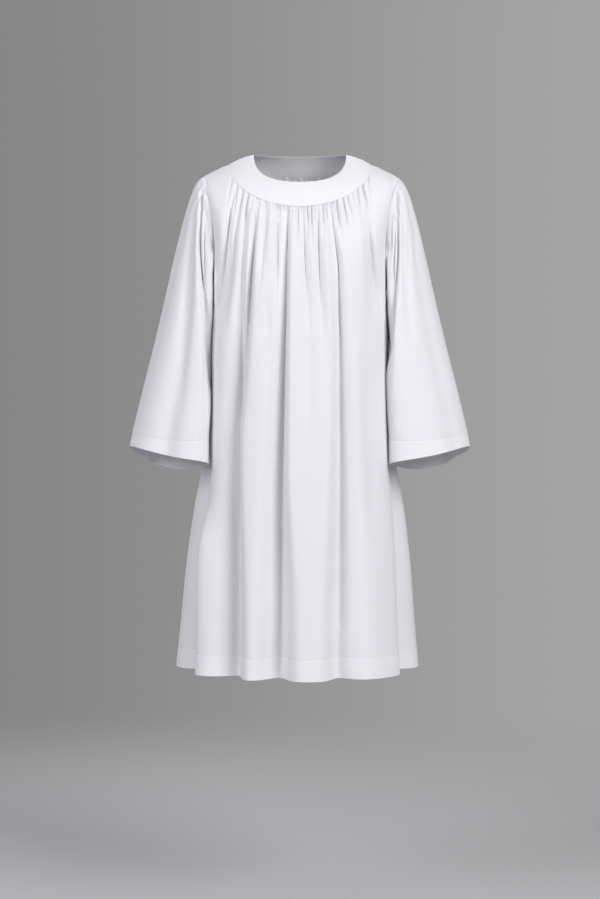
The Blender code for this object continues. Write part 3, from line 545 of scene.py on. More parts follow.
def relaxed(grid, down, edge):
    """Evens out the shoulder between the rows that start on it and those that start round the armhole."""
    share = (rise(down, 6, 26) * fall(down, 230, 60) * rise(edge, 0, 14))[1:-1]
    for _ in range(EVENING_ROUNDS):
        grid[1:-1] += ((grid[:-2] + grid[2:]) / 2 - grid[1:-1]) * (0.9 * share[..., None])
    return grid


def body_grid(row_table, folds, side_folds, creases, half, downs, steps):
    """The middle of the front (half -1) or back (half 1), with the distance of each point from the seams."""
    rows = table(ROW_COLUMNS, row_table)
    shares = np.linspace(0, 1, steps + 1)
    grid, along, length, gathered = [], [], [], []
    for down in downs:
        line = panel_row(rows, half, down)
        whole = run_of(line)[-1]
        margin = curve(rows["down"], rows["margin"], down)
        grid.append(place(line, shares * whole))
        along.append(shares * whole)
        length.append(np.full(steps + 1, whole))
        gathered.append(np.clip((shares * whole - margin) / (whole - 2 * margin), 0, 1))
    grid, along, length, gathered = (np.array(part) for part in (grid, along, length, gathered))
    down = np.array(downs)[:, None] + 0 * along
    edge = np.minimum(along, length - along)
    grid = relaxed(grid, down, edge)
    out = ways_out(grid, half)
    x, z = grid[..., 0], grid[..., 2]
    depth = np.zeros(x.shape)
    for fold in records(FOLD_COLUMNS, folds):
        depth += fold_depth(fold, x, z) * rise(edge, 6, 34) * rise(down, 0, 12)
    for fold in records(SIDE_FOLD_COLUMNS, side_folds):
        depth += side_fold_depth(fold, along if fold["side"] < 0 else length - along, z)
    fine = np.zeros(x.shape)
    for crease in records(CREASE_COLUMNS, creases):
        fine += crease_depth(crease, x, z)
    fine += front_gathers(grid) if half < 0 else back_gathers(gathered, down)
    fine -= PUFF * rise(down, 0, 7) * fall(down, 16, 70) * rise(edge, 20, 40)
    depth += fine * rise(edge, 2, 16) * rise(down, 0, 3.5)
    if half < 0:
        levels = [-height for height in SIDE_OUT[0]]
        left_out, right_out = (curve(levels, amounts, -z) for amounts in SIDE_OUT[1:])
        side_out = np.where(x > 0, left_out, right_out)
        depth -= side_out * rise(np.abs(x), 150, 24) * rise(edge, 0, 30)
    depth += SEAM_DIP * np.exp(-(edge / SEAM_DIP_HALF) ** 2)
    depth += HEM_DIP * np.exp(-((down - HEM) / 1.4) ** 2)
    grid = grid - out * depth[..., None]
    grid[..., 2] += HEM_RISE * depth * rise(down, 700, 300)
    return forward(grid), down


def sleeve_grid(side, shift, folds, front_creases, close, wedge):
    """The middle of a sleeve's cloth, with the share of its length at each point.

    It is made as the wearer's left sleeve (side 1), and mirrored at the end for the right one (side -1).
    shift moves its gathers along the head."""
    degrees = 180.0 + 360.0 * SLEEVE_SHARES[:-1]
    grid = np.array([sleeve_ring(along, np.radians(degrees)) for along in SLEEVE_ALONGS])
    out = ways_out(grid, 1, ring=True)
    along = np.array(SLEEVE_ALONGS)[:, None] + 0 * grid[..., 0]
    turn = (degrees + 180) % 360 - 180 + 0 * along
    head = fall(np.abs(turn), 48, 40)
    share = (turn + 90) / 180
    uneven = 1 + 0.35 * np.sin(2 * math.pi * (2.3 * share + shift))
    first = rise(along, 0, 0.012) * fall(along, 0.04, 0.10)
    second = rise(along, 0.03, 0.08) * fall(along, 0.14, 0.22)
    sharp = np.cos(2 * math.pi * HEAD_GATHERS * share)
    soft = np.cos(math.pi * HEAD_GATHERS * share + shift)
    depth = head * uneven * (1.1 * first * (np.exp(1.4 * sharp) / 2 - 0.5)
                             + 1.5 * second * (np.exp(1.2 * soft) / 2 - 0.5))
    for fold in records(SLEEVE_FOLD_COLUMNS, folds):
        levels = [fold["along1"], fold["along2"], fold["along3"]]
        path = curve(levels, [fold["angle1"], fold["angle2"], fold["angle3"]], along)
        deep = curve(levels, [fold["depth1"], fold["depth2"], fold["depth3"]], along)
        half = np.interp(along, [levels[0], levels[2]], [fold["half1"], fold["half3"]])
        away = (turn - path + 180) % 360 - 180
        depth += deep * rise(along, levels[0] - 0.03, 0.03) * np.exp(-(away / half) ** 2)
    x, y, z = grid[..., 0], grid[..., 1], grid[..., 2]
    for creases, way in ((front_creases, -1), (SLEEVE_BACK_CREASES, 1)):
        seen = rise(y * way, 20, 40) * rise(along, 0, 0.03)
        for crease in records(CREASE_COLUMNS, creases):
            depth += crease_depth(crease, x, z) * seen
    for alongs, angles, amounts, half in (CLOSE_BOTH, close):
        away = (turn - curve(alongs, angles, along) + 180) % 360 - 180
        depth -= curve(alongs, amounts, along) * np.exp(-(away / half) ** 2)
    depth += SEAM_DIP * np.exp(-(along / 0.005) ** 2)
    depth += HEM_DIP * np.exp(-((along - CUFF) / 0.0022) ** 2)
    grid = grid - out * depth[..., None]
    x, y, z = grid[..., 0], grid[..., 1], grid[..., 2]
    levels = [-height for height in wedge[0]]
    edge, back = (curve(levels, amounts, -z) for amounts in wedge[1:])
    grid[..., 1] += back * fall(x, edge - 3, 5) * rise(-y, 40, 30)
    grid = forward(grid)
    return grid * np.array([side, 1, 1]), along


def yoke_grid():
    """A ring of rows from the neckline out to the yoke seam."""
    neck = {-1: table(ARCH_COLUMNS, [NECK_FRONT]), 1: table(ARCH_COLUMNS, [NECK_BACK])}
    body = {-1: table(ROW_COLUMNS, FRONT_ROWS), 1: table(ROW_COLUMNS, BACK_ROWS)}
    share = np.arange(YOKE_STEPS) / YOKE_STEPS
    grid = []
    for across in np.linspace(0, 1, YOKE_ROWS + 1):
        loop = []
        for half, at in ((-1, share), (1, 1 - share)):
            row = neck[half]
            edge = np.array([row["edge_x"][0], 0.0, row["edge_z"][0]])
            lead, pull = (np.array([row[name][0] for name in names])
                          for names in (("lead_x", "lead_y", "lead_z"), ("pull_x", "centre_y", "pull_z")))
            centre = np.array([0.0, row["centre_y"][0], row["centre_z"][0]])
            inner = arch(edge * np.array([-1, 1, 1]), edge, lead, pull, centre)
            outer = panel_row(body[half], half, 0.0)
            inner, outer = (place(line, at * run_of(line)[-1]) for line in (inner, outer))
            middle = inner + (outer - inner) * across
            crown = YOKE_CROWN * math.sin(math.pi * across)
            loop.append(middle + crown * unit(middle - np.array(BODY_MIDDLE)))
        grid.append(np.vstack(loop))
    return np.array(grid)


# ---- from a grid to a piece of cloth -------------------------------------------------------------
def linked(name, data):
    """A new object in the scene."""
    made = bpy.data.objects.new(name, data)
    bpy.context.scene.collection.objects.link(made)
    return made


def cloth_piece(name, grid, flip, ring, walls, doubled, flat_width, downs, material, shares=None):
    """A thin closed shell round a grid of points, with the cut cloth's own threads as its UV map.

    walls is how far it goes out and in from the grid, and doubled is 1 where the cloth has two layers.
    downs and shares are where the rows and columns lie on the flat cloth."""
    outer_wall, inner_wall = walls
    rows, columns = grid.shape[:2]
    out = ways_out(grid, flip, ring)
    shell = np.concatenate([(grid + out * outer_wall[..., None]).reshape(-1, 3),
                            (grid - out * inner_wall[..., None]).reshape(-1, 3)]) * MM
    wraps = columns if ring else columns - 1
    r, c = np.meshgrid(np.arange(rows - 1), np.arange(wraps), indexing="ij")
    r, c = r.ravel(), c.ravel()
    corner_r = np.stack([r, r, r + 1, r + 1], 1)
    corner_c = np.stack([c, c + 1, c + 1, c], 1)
    if flip < 0:
        corner_r, corner_c = corner_r[:, ::-1], corner_c[:, ::-1]
    count = rows * columns
    parts = [(corner_r, corner_c, np.zeros_like(corner_r)),
             (corner_r[:, ::-1], corner_c[:, ::-1], np.ones_like(corner_r))]
    edges = []
    line = np.arange(wraps)
    for row, way in ((0, 1), (rows - 1, -1)):
        same = np.full(wraps, row)
        edges.append((same, line, same, line + 1, way))
    if not ring:
        line = np.arange(rows - 1)
        for column, way in ((0, -1), (columns - 1, 1)):
            same = np.full(rows - 1, column)
            edges.append((line, same, line + 1, same, way))
    for r0, c0, r1, c1, way in edges:
        rim_r, rim_c = np.stack([r0, r0, r1, r1], 1), np.stack([c0, c0, c1, c1], 1)
        layer = np.tile([0, 1, 1, 0], (len(r0), 1))
        if way * flip < 0:
            rim_r, rim_c, layer = rim_r[:, ::-1], rim_c[:, ::-1], layer[:, ::-1]
        parts.append((rim_r, rim_c, layer))
    corner_r, corner_c, layer = (np.concatenate([part[i] for part in parts]) for i in range(3))
    faces = corner_r * columns + corner_c % columns + layer * count
    mesh = bpy.data.meshes.new(name)
    mesh.from_pydata(shell.tolist(), [], faces.tolist())
    u = (np.linspace(0, 1, wraps + 1) if shares is None else shares)[corner_c] * flat_width
    v = np.asarray(downs)[corner_r] * MM
    mesh.uv_layers.new(name="threads").data.foreach_set(
        "uv", np.stack([u, -v], 2).astype(np.float32).ravel())
    attribute = mesh.attributes.new("doubled", "FLOAT", "POINT")
    attribute.data.foreach_set("value", np.concatenate([doubled.ravel()] * 2).astype(np.float32))
    mesh.polygons.foreach_set("use_smooth", np.ones(len(mesh.polygons), bool))
    mesh.set_sharp_from_angle(angle=math.radians(FOLD_DEGREES))
    mesh.materials.append(material)
    mesh.update()
    return linked(name, mesh)


def hemmed(below, cloth):
    """The walls of a body panel or sleeve, and where it is doubled: its hem is thicker on the inside.

    below is how far a point lies below the hem's upper edge."""
    hem = rise(below, -1, 2)
    return (np.full(below.shape, cloth / 2), cloth / 2 + hem * cloth * HEM_IN), hem


# ---- materials -----------------------------------------------------------------------------------
def group_of(name, inputs, outputs):
    """A shader node group with its named inputs (name, kind, default) and outputs (name, kind)."""
    tree = bpy.data.node_groups.new(name, "ShaderNodeTree")
    for socket, kind, default in inputs:
        made = tree.interface.new_socket(socket, in_out="INPUT", socket_type=kind)
        if default is not None:
            made.default_value = default
    for socket, kind in outputs:
        tree.interface.new_socket(socket, in_out="OUTPUT", socket_type=kind)
    return tree, tree.nodes.new("NodeGroupInput"), tree.nodes.new("NodeGroupOutput")


def calc(tree, operation, *values):
    """A sum of numbers or sockets."""
    node = tree.nodes.new("ShaderNodeMath")
    node.operation = operation
    for socket, value in zip(node.inputs, values):
        if isinstance(value, bpy.types.NodeSocket):
            tree.links.new(value, socket)
        else:
            socket.default_value = value
    return node.outputs[0]


def noise(tree, vector, scale, detail, rough=0.5):
    """Noise of 0 to 1."""
    node = tree.nodes.new("ShaderNodeTexNoise")
    tree.links.new(vector, node.inputs["Vector"])
    node.inputs["Scale"].default_value = scale
    node.inputs["Detail"].default_value = detail
    node.inputs["Roughness"].default_value = rough
    return node.outputs["Fac"]


def parts_of(tree, vector):
    """The X, Y and Z of a vector."""
    split = tree.nodes.new("ShaderNodeSeparateXYZ")
    tree.links.new(vector, split.inputs[0])
    return split.outputs


def object_place(tree):
    """Where a point lies on the object, in metres."""
    return tree.nodes.new("ShaderNodeTexCoord").outputs["Object"]


def even_grey(tree, value):
    """A grey of this value."""
    grey = tree.nodes.new("ShaderNodeCombineColor")
    for socket in tuple(grey.inputs)[:3]:
        tree.links.new(value, socket)
    return grey.outputs[0]


def blended(tree, factor, first, second, blend="MIX"):
    """Two colours, each a socket or three numbers, blended by a socket or a number."""
    mix = tree.nodes.new("ShaderNodeMix")
    mix.data_type, mix.blend_type = "RGBA", blend
    for socket, value in ((mix.inputs["Factor"], factor), (mix.inputs[6], first), (mix.inputs[7], second)):
        if isinstance(value, bpy.types.NodeSocket):
            tree.links.new(value, socket)
        else:
            socket.default_value = value if isinstance(value, float) else (*value, 1)
    return mix.outputs[2]


def soft_ramp(tree, value, limits):
    """A smooth change between limits: from, to, and the value at each."""
    ramp = tree.nodes.new("ShaderNodeMapRange")
    ramp.interpolation_type = "SMOOTHSTEP"
    tree.links.new(value, ramp.inputs["Value"])
    for socket, limit in zip(tuple(ramp.inputs)[1:], limits):
        socket.default_value = limit
    return ramp.outputs["Result"]


def new_material(name):
    """A material and its shader."""
    material = bpy.data.materials.new(name)
    material.use_nodes = True
    return material, material.node_tree.nodes["Principled BSDF"]


def plain_weave_group():
    """Threads over and under each other, with the slubs of the yarn, on cloth measured in metres. Its Shade
    is the slubs' own uneven tone plus painted shade where the threads pass under.
    """
    tree, given, made = group_of(
        "plain_weave",
        [("Threads", "NodeSocketVector", None), ("Thread spacing", "NodeSocketFloat", 0.00045),
         ("Slub", "NodeSocketFloat", 0.5)],
        [("Shade", "NodeSocketFloat"), ("Height", "NodeSocketFloat")])
    place = parts_of(tree, given.outputs["Threads"])
    waves = []
    for axis in ("X", "Y"):
        turns = calc(tree, "DIVIDE", place[axis], given.outputs["Thread spacing"])
        waves.append(calc(tree, "SINE", calc(tree, "MULTIPLY", turns, math.pi)))
    crossing = calc(tree, "MULTIPLY_ADD", calc(tree, "MULTIPLY", *waves), 0.5, 0.5)
    yarn = []
    for scale in ((620.0, 16.0, 1.0), (14.0, 520.0, 1.0)):
        stretch = tree.nodes.new("ShaderNodeVectorMath")
        stretch.operation = "MULTIPLY"
        tree.links.new(given.outputs["Threads"], stretch.inputs[0])
        stretch.inputs[1].default_value = scale
        yarn.append(noise(tree, stretch.outputs[0], 1.0, 2.0))
    slub = calc(tree, "MULTIPLY_ADD", yarn[0], 0.65, calc(tree, "MULTIPLY", yarn[1], 0.35))
    slub = calc(tree, "MULTIPLY", calc(tree, "SUBTRACT", slub, 0.5), given.outputs["Slub"])
    height = calc(tree, "MULTIPLY_ADD", slub, 1.5, crossing)
    # painted shade: the weave is darker where it is low; the slubs add their own uneven tone
    shade = calc(tree, "MULTIPLY_ADD", calc(tree, "SUBTRACT", crossing, 0.5), 0.35, slub)
    tree.links.new(height, made.inputs["Height"])
    tree.links.new(shade, made.inputs["Shade"])
    return tree


def softness_group():
    """Faint unevenness of washed cloth, in large soft patches."""
    tree, given, made = group_of("washed_patches", [("Position", "NodeSocketVector", None)],
                                 [("Patch", "NodeSocketFloat"), ("Height", "NodeSocketFloat")])
    wide = noise(tree, given.outputs["Position"], 9.0, 3.0)
    close = noise(tree, given.outputs["Position"], 55.0, 3.0, 0.6)
    both = calc(tree, "MULTIPLY_ADD", close, 0.3, calc(tree, "MULTIPLY", wide, 0.7))
    tree.links.new(calc(tree, "SUBTRACT", both, 0.5), made.inputs["Patch"])
    tree.links.new(close, made.inputs["Height"])
    return tree


def cotton(name, weave, patches, single, double, slub, sheen):
    """Matte white cotton: its single cloth, and the denser white where it is doubled."""
    material, shader = new_material(name)
    tree = material.node_tree
    threads = tree.nodes.new("ShaderNodeUVMap")
    threads.uv_map = "threads"
    doubled = tree.nodes.new("ShaderNodeAttribute")
    doubled.attribute_name = "doubled"
    cloth, soft = tree.nodes.new("ShaderNodeGroup"), tree.nodes.new("ShaderNodeGroup")
    cloth.node_tree, soft.node_tree = weave, patches
    cloth.inputs["Slub"].default_value = slub
    tree.links.new(threads.outputs[0], cloth.inputs["Threads"])
    tree.links.new(object_place(tree), soft.inputs["Position"])
    white = blended(tree, doubled.outputs["Fac"], single, double)
    uneven = calc(tree, "MULTIPLY_ADD", soft.outputs["Patch"], 0.05, 1.0)
    # the weave's painted shade and the slubs' and patches' own uneven tone darken the white
    shade = calc(tree, "MULTIPLY_ADD", cloth.outputs["Shade"], 0.07, uneven)
    tree.links.new(blended(tree, 1.0, white, even_grey(tree, shade), "MULTIPLY"), shader.inputs["Base Color"])
    rough = calc(tree, "MULTIPLY_ADD", cloth.outputs["Shade"], -0.12, 0.86)
    tree.links.new(rough, shader.inputs["Roughness"])
    relief = calc(tree, "MULTIPLY_ADD", soft.outputs["Height"], 0.6, cloth.outputs["Height"])
    bump = tree.nodes.new("ShaderNodeBump")
    bump.inputs["Strength"].default_value = 0.35
    bump.inputs["Distance"].default_value = 0.00012
    tree.links.new(relief, bump.inputs["Height"])
    tree.links.new(bump.outputs[0], shader.inputs["Normal"])
    shader.inputs["Sheen Weight"].default_value = sheen
    shader.inputs["Sheen Roughness"].default_value = 0.6
    shader.inputs["Specular IOR Level"].default_value = 0.25


def twisted_thread(name, colour):
    """Sewing thread, with painted shade for the grooves between its plies: a little darker in small random
    spots.
    """
    material, shader = new_material(name)
    tree = material.node_tree
    # painted shade: fine random noise darkens the white by up to 6 %, standing for the shade between the
    # plies
    ply_shade_spots = noise(tree, object_place(tree), 1800.0, 1.0)
    ply_shaded_colour = [0.94 * part for part in colour]
    tree.links.new(blended(tree, ply_shade_spots, ply_shaded_colour, colour), shader.inputs["Base Color"])
    shader.inputs["Roughness"].default_value = 0.6


# ---- stitches ------------------------------------------------------------------------------------
def stitch_tree():
    """Puts stitches of one thread along a line, end to end."""
    tree = bpy.data.node_groups.new("stitch_row", "GeometryNodeTree")
    new = tree.interface.new_socket
    new("Geometry", in_out="INPUT", socket_type="NodeSocketGeometry")
    for name, default in (("Pitch", 0.0028), ("Stitch length", 0.0021), ("Thread width", 0.0004)):
        socket = new(name, in_out="INPUT", socket_type="NodeSocketFloat")
        socket.default_value, socket.subtype = default, "DISTANCE"
    new("Thread", in_out="INPUT", socket_type="NodeSocketMaterial")
    new("Geometry", in_out="OUTPUT", socket_type="NodeSocketGeometry")
    nodes = tree.nodes
    given, made = nodes.new("NodeGroupInput"), nodes.new("NodeGroupOutput")
    line, even = nodes.new("GeometryNodeMeshToCurve"), nodes.new("GeometryNodeResampleCurve")
    even.mode = "LENGTH"
    thread, shape = nodes.new("GeometryNodeMeshUVSphere"), nodes.new("GeometryNodeTransform")
    thread.inputs["Segments"].default_value, thread.inputs["Rings"].default_value = 6, 5
    thread.inputs["Radius"].default_value = 0.5
    size, tangent = nodes.new("ShaderNodeCombineXYZ"), nodes.new("GeometryNodeInputTangent")
    turn, uneven = nodes.new("FunctionNodeAlignRotationToVector"), nodes.new("FunctionNodeRandomValue")
    turn.axis = "X"
    uneven.inputs[2].default_value, uneven.inputs[3].default_value = 0.9, 1.08
    uneven.inputs["Seed"].default_value = 7
    copy, real = nodes.new("GeometryNodeInstanceOnPoints"), nodes.new("GeometryNodeRealizeInstances")
    paint = nodes.new("GeometryNodeSetMaterial")
    for source, out, target, into in (
            (given, "Geometry", line, "Mesh"), (line, "Curve", even, "Curve"),
            (given, "Pitch", even, "Length"), (given, "Stitch length", size, 0),
            (given, "Thread width", size, 1), (given, "Thread width", size, 2),
            (thread, "Mesh", shape, "Geometry"), (size, 0, shape, "Scale"), (tangent, 0, turn, "Vector"),
            (even, "Curve", copy, "Points"), (shape, "Geometry", copy, "Instance"),
            (turn, 0, copy, "Rotation"), (uneven, 1, copy, "Scale"),
            (copy, "Instances", real, "Geometry"), (real, "Geometry", paint, "Geometry"),
            (given, "Thread", paint, "Material"), (paint, "Geometry", made, "Geometry")):
        tree.links.new(source.outputs[out], target.inputs[into])
    return tree


def stitch_row(name, line, closed, sizes):
    """Stitches along a line of points, as one plain mesh."""
    last = len(line) - 1
    edges = [(i, i + 1) for i in range(last)] + ([(last, 0)] if closed else [])
    mesh = bpy.data.meshes.new(name)
    mesh.from_pydata((line * MM).tolist(), edges, [])
    row = linked(name, mesh)
    tree = bpy.data.node_groups.get("stitch_row") or stitch_tree()
    modifier = row.modifiers.new("stitches", "NODES")
    modifier.node_group = tree
    values = {"Pitch": sizes.stitch_pitch, "Stitch length": sizes.stitch_pitch * STITCH_SHARE,
              "Thread width": sizes.thread, "Thread": material_named("white_thread")}
    for socket in tree.interface.items_tree:
        if socket.in_out == "INPUT" and socket.name in values:
            modifier[socket.identifier] = values[socket.name]
    bpy.context.view_layer.update()
    solid = bpy.data.meshes.new_from_object(row.evaluated_get(bpy.context.evaluated_depsgraph_get()))
    row.modifiers.remove(modifier)
    row.data = solid
    solid.name = name
    solid.polygons.foreach_set("use_smooth", np.ones(len(solid.polygons), bool))
    return row


def hem_stitches(name, grid, flip, ring, row, sizes):
    """The stitches on the outside of a hem, along one row of its grid."""
    on = grid + ways_out(grid, flip, ring) * (sizes.cloth / MM / 2 + STITCH_LIFT)
    return stitch_row(name, on[row], ring, sizes)


# ---- properties and operators --------------------------------------------------------------------
class SurpliceSizes(bpy.types.PropertyGroup):
    """Sizes of the cloth and its sewing."""

    cloth: bpy.props.FloatProperty(name="Cloth", description="Thickness of the single cloth",
                                   default=0.0005, min=0.0002, max=0.002, precision=5, unit="LENGTH")
    stitch_pitch: bpy.props.FloatProperty(name="Stitch pitch", description="From one stitch to the next",
                                          default=0.0028, min=0.001, max=0.008, precision=5, unit="LENGTH")
    thread: bpy.props.FloatProperty(name="Thread", description="Width of the sewing thread",
                                    default=0.0004, min=0.0001, max=0.001, precision=5, unit="LENGTH")


class SurpliceColours(bpy.types.PropertyGroup):
    """Colours and finish of the cloth."""

    single: bpy.props.FloatVectorProperty(name="Single cloth", description="White of the single cloth",
                                          default=(0.74, 0.735, 0.78), min=0, max=1, subtype="COLOR")
    double: bpy.props.FloatVectorProperty(name="Doubled cloth", description="White of the yoke and the hems",
                                          default=(0.77, 0.765, 0.805), min=0, max=1, subtype="COLOR")
    thread: bpy.props.FloatVectorProperty(name="Thread", description="White of the sewing thread",
                                          default=(0.84, 0.84, 0.88), min=0, max=1, subtype="COLOR")
    slub: bpy.props.FloatProperty(name="Slub", description="How uneven the yarn is",
                                  default=0.5, min=0, max=1, subtype="FACTOR")
    sheen: bpy.props.FloatProperty(name="Sheen", description="Soft light along the cloth's turns",
                                   default=0.12, min=0, max=1, subtype="FACTOR")


class SurpliceStage(bpy.types.PropertyGroup):
    """Floor, lights and camera."""

    floor_drop: bpy.props.FloatProperty(name="Floor", description="Depth of the floor below the neck",
                                        default=1.62, min=1.2, max=3, unit="LENGTH")
    camera_distance: bpy.props.FloatProperty(name="Camera distance", description="From neck to camera",
                                             default=4.0, min=2, max=12, unit="LENGTH")
    camera_drop: bpy.props.FloatProperty(name="Camera drop", description="Depth of the camera below the neck",
                                         default=0.633, min=0, max=2, unit="LENGTH")
    key_power: bpy.props.FloatProperty(name="Key light", description="Power of the large soft light",
                                       default=136.0, min=0, max=1000, unit="POWER")
    fill_power: bpy.props.FloatProperty(name="Fill light", description="Power of the light on the other side",
                                        default=82.0, min=0, max=1000, unit="POWER")
    back_power: bpy.props.FloatProperty(name="Back light", description="Power of the light behind",
                                        default=60, min=0)
    low_power: bpy.props.FloatProperty(name="Low light", description="Power of the light below",
                                       default=4, min=0)


def material_named(name):
    """The materials are made once, by the first operator that needs them."""
    if name not in bpy.data.materials:
        colours = bpy.context.scene.surplice_colours
        weave, patches = plain_weave_group(), softness_group()
        for made, single in (("body_cotton", colours.single), ("yoke_cotton", colours.double)):
            cotton(made, weave, patches, single, colours.double, colours.slub, colours.sheen)
        twisted_thread("white_thread", colours.thread)
    return bpy.data.materials[name]


def dress(piece, node, stitches=()):
    """Rides the piece on the garment and lets it stand for its solid."""
    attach(piece, "root")
    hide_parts(node)
    for row in stitches:
        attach(row, "root")


class SURPLICE_OT_yoke(bpy.types.Operator):
    """Makes the round yoke of doubled cloth."""

    bl_idname = "surplice.yoke"
    bl_label = "Yoke"

    def execute(self, context):
        sizes = context.scene.surplice_sizes
        grid = yoke_grid()
        across = np.linspace(0, 1, YOKE_ROWS + 1)[:, None] + 0 * grid[..., 0]
        cloth = sizes.cloth / MM
        edge = 1 - 0.55 * fall(across, 0, 0.05)  # thinner at the folded edge round the neck
        piece = cloth_piece("yoke_cloth", grid, -1, True, (cloth * edge * YOKE_OUT, cloth * edge * YOKE_IN),
                            0 * across + 1, YOKE_ROUND, np.linspace(0, YOKE_WIDTH, YOKE_ROWS + 1),
                            material_named("yoke_cotton"))
        on = grid + ways_out(grid, -1, ring=True) * (cloth * YOKE_OUT + YOKE_STITCH_LIFT)
        line = grid[-1] + (grid[-2] - grid[-1]) * YOKE_STITCH_ROW + (on[-1] - grid[-1])
        stitches = stitch_row("yoke_stitches", line, True, sizes)
        dress(piece, "yoke", [stitches])
        return {"FINISHED"}


class SURPLICE_OT_body(bpy.types.Operator):
    """Makes the front and back, gathered into the yoke and turned up at the hem."""

    bl_idname = "surplice.body"
    bl_label = "Front and back"

    def execute(self, context):
        sizes = context.scene.surplice_sizes
        front = (FRONT_ROWS, FRONT_FOLDS, FRONT_SIDE_FOLDS, FRONT_CREASES, -1, FRONT_DOWNS, FRONT_STEPS)
        back = (BACK_ROWS, BACK_FOLDS, BACK_SIDE_FOLDS, BACK_CREASES, 1, BACK_DOWNS, BACK_STEPS)
        for node, shape, flat, area in (
                ("front", front, (0.95, 1.09), 0.90),
                ("back", back, (0.78, 1.10), 0.80)):
            grid, down = body_grid(*shape)
            half, downs = shape[4], shape[5]
            walls, hem = hemmed(down - HEM, sizes.cloth / MM)
            piece = cloth_piece(f"{node}_cloth", grid, half, False, walls, hem, flat[0], downs,
                                material_named("body_cotton"))
            stitches = hem_stitches(f"{node}_hem_stitches", grid, half, False,
                                    list(downs).index(HEM_STITCHES), sizes)
            dress(piece, node, [stitches])
        return {"FINISHED"}


class SURPLICE_OT_sleeves(bpy.types.Operator):
    """Makes the two wide sleeves, gathered over their heads and turned up at the cuffs."""

    bl_idname = "surplice.sleeves"
    bl_label = "Sleeves"

    def execute(self, context):
        sizes = context.scene.surplice_sizes
        left = (1, 0.2, SLEEVE_LEFT_FOLDS, SLEEVE_LEFT_CREASES, CLOSE_LEFT, WEDGE_LEFT)
        right = (-1, 0.7, SLEEVE_RIGHT_FOLDS, SLEEVE_RIGHT_CREASES, CLOSE_RIGHT, WEDGE_RIGHT)
        for node, side, shape in (("sleeve_left", 1, left), ("sleeve_right", -1, right)):
            grid, along = sleeve_grid(*shape)
            walls, hem = hemmed((along - CUFF) * SLEEVE_LENGTH, sizes.cloth / MM)
            piece = cloth_piece(f"{node}_cloth", grid, side, True, walls, hem, SLEEVE_ROUND,
                                np.array(SLEEVE_ALONGS) * SLEEVE_LENGTH, material_named("body_cotton"),
                                SLEEVE_SHARES)
            stitches = hem_stitches(f"{node}_cuff_stitches", grid, side, True,
                                    SLEEVE_ALONGS.index(CUFF_STITCHES), sizes)
            dress(piece, node, [stitches])
        return {"FINISHED"}


def area_light(name, spot, target, width, height, power, colour):
    """A soft light that faces its target."""
    light = bpy.data.lights.new(name, "AREA")
    light.shape, light.size, light.size_y = "RECTANGLE", width, height
    light.energy, light.color = power, colour
    lamp = linked(name, light)
    lamp.location = spot
    lamp.rotation_mode = "QUATERNION"
    lamp.rotation_quaternion = (Vector(target) - Vector(spot)).to_track_quat("-Z", "Y")


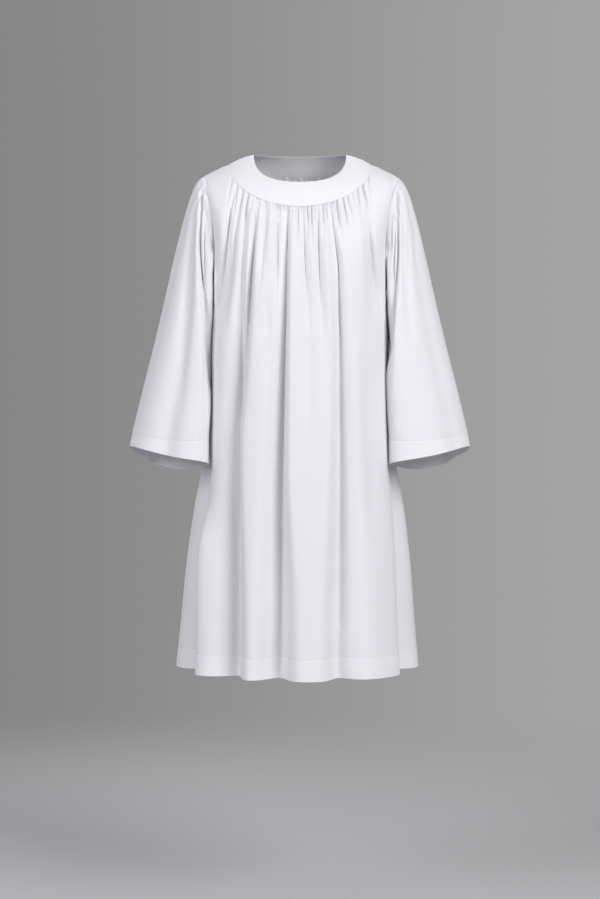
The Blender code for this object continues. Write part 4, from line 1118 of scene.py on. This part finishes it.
class SURPLICE_OT_stage(bpy.types.Operator):
    """Makes the pale floor, the studio light and the camera."""

    bl_idname = "surplice.stage"
    bl_label = "Stage"

    def execute(self, context):
        scene, stage = context.scene, context.scene.surplice_stage
        scene.view_settings.view_transform = "Standard"
        scene.view_settings.look = "None"
        self.floor(stage.floor_drop)
        self.surround(scene)
        area_light("key", (2.35, -2.8, 1.3), LIGHT_TARGET, 2.0, 2.2, stage.key_power, (1.0, 0.99, 0.98))
        area_light("fill", (-2.9, -2.5, 0.9), LIGHT_TARGET, 1.6, 2.0, stage.fill_power, (0.97, 0.98, 1.0))
        area_light("back", (-1.0, 3.4, 1.4), LIGHT_TARGET, 2.6, 2.2, stage.back_power, (1.0, 1.0, 1.0))
        area_light("low", (0, -2.4, -1.5), (0, 0, -0.5), 2.4, 0.8, stage.low_power, (1.0, 1.0, 1.0))
        camera = bpy.data.cameras.new("camera")
        camera.sensor_width = 36.0
        camera.lens = stage.camera_distance / PIXEL / VIEW_PIXELS * camera.sensor_width
        camera.clip_end = 60
        eye = linked("camera", camera)
        eye.location = (0, -stage.camera_distance, -stage.camera_drop)
        eye.rotation_euler = (math.pi / 2, 0, 0)
        scene.camera = eye
        return {"FINISHED"}

    def floor(self, drop):
        """A round floor that fades out at its rim."""
        mesh = bpy.data.meshes.new("floor")
        turns = np.linspace(0, 2 * math.pi, FLOOR_CORNERS, endpoint=False)
        rim = [(FLOOR_RADIUS * math.cos(turn), FLOOR_RADIUS * math.sin(turn), -drop) for turn in turns]
        mesh.from_pydata(rim, [], [tuple(range(FLOOR_CORNERS))])
        material, shader = new_material("pale_floor")
        tree = material.node_tree
        position = parts_of(tree, object_place(tree))
        squares = [calc(tree, "POWER", position[axis], 2.0) for axis in "XY"]
        far = calc(tree, "SQRT", calc(tree, "ADD", *squares))
        tree.links.new(soft_ramp(tree, far, (1.0, 3.2, 1.0, 0.0)), shader.inputs["Alpha"])
        shader.inputs["Base Color"].default_value = (0.47, 0.47, 0.48, 1)
        shader.inputs["Roughness"].default_value = 0.9
        mesh.materials.append(material)
        floor = linked("floor", mesh)

    def surround(self, scene):
        """A grey studio wall, which the camera sees with painted light, lighter towards +x where the key
        light stands and darker towards -x; and even light from all round.
        """
        world = bpy.data.worlds.new("studio")
        scene.world = world
        world.use_nodes = True
        tree = world.node_tree
        lit = tree.nodes["Background"]
        lit.inputs["Color"].default_value = (0.50, 0.50, 0.52, 1)
        lit.inputs["Strength"].default_value = 0.4
        wall = tree.nodes.new("ShaderNodeBackground")
        seen = tree.nodes.new("ShaderNodeLightPath")
        mix = tree.nodes.new("ShaderNodeMixShader")
        way = tree.nodes.new("ShaderNodeTexCoord")
        # painted light: the wall's grey rises from 0.235 on the left to 0.375 on the right, towards the key
        # light
        painted_wall_light = soft_ramp(tree, parts_of(tree, way.outputs["Generated"])["X"], (-0.2, 0.2, 0.235, 0.375))
        tree.links.new(even_grey(tree, painted_wall_light), wall.inputs["Color"])
        tree.links.new(seen.outputs["Is Camera Ray"], mix.inputs[0])
        tree.links.new(lit.outputs[0], mix.inputs[1])
        tree.links.new(wall.outputs[0], mix.inputs[2])
        tree.links.new(mix.outputs[0], tree.nodes["World Output"].inputs["Surface"])


class SURPLICE_PT_panel(bpy.types.Panel):
    """Lists the surplice's sizes, colours and steps."""

    bl_idname = "SURPLICE_PT_panel"
    bl_label = "Surplice"
    bl_space_type = "VIEW_3D"
    bl_region_type = "UI"
    bl_category = "Surplice"

    def draw(self, context):
        scene = context.scene
        for group in (scene.surplice_sizes, scene.surplice_colours, scene.surplice_stage):
            box = self.layout.box()
            for name in group.__annotations__:
                box.prop(group, name)
        for step in OPERATORS:
            self.layout.operator(step.bl_idname)


GROUPS = (SurpliceSizes, SurpliceColours, SurpliceStage)
OPERATORS = (SURPLICE_OT_yoke, SURPLICE_OT_body, SURPLICE_OT_sleeves, SURPLICE_OT_stage)


def register():
    """Adds the groups, the operators and the panel."""
    for group in (*GROUPS, *OPERATORS, SURPLICE_PT_panel):
        bpy.utils.register_class(group)
    bpy.types.Scene.surplice_sizes = bpy.props.PointerProperty(type=SurpliceSizes)
    bpy.types.Scene.surplice_colours = bpy.props.PointerProperty(type=SurpliceColours)
    bpy.types.Scene.surplice_stage = bpy.props.PointerProperty(type=SurpliceStage)


def unregister():
    """Takes them away again."""
    for name in ("surplice_sizes", "surplice_colours", "surplice_stage"):
        delattr(bpy.types.Scene, name)
    for group in reversed((*GROUPS, *OPERATORS, SURPLICE_PT_panel)):
        bpy.utils.unregister_class(group)


def main():
    """Makes the garment and the stage."""
    register()
    bpy.ops.surplice.yoke()
    bpy.ops.surplice.body()
    bpy.ops.surplice.sleeves()
    bpy.ops.surplice.stage()


if __name__ == "__main__":
    main()
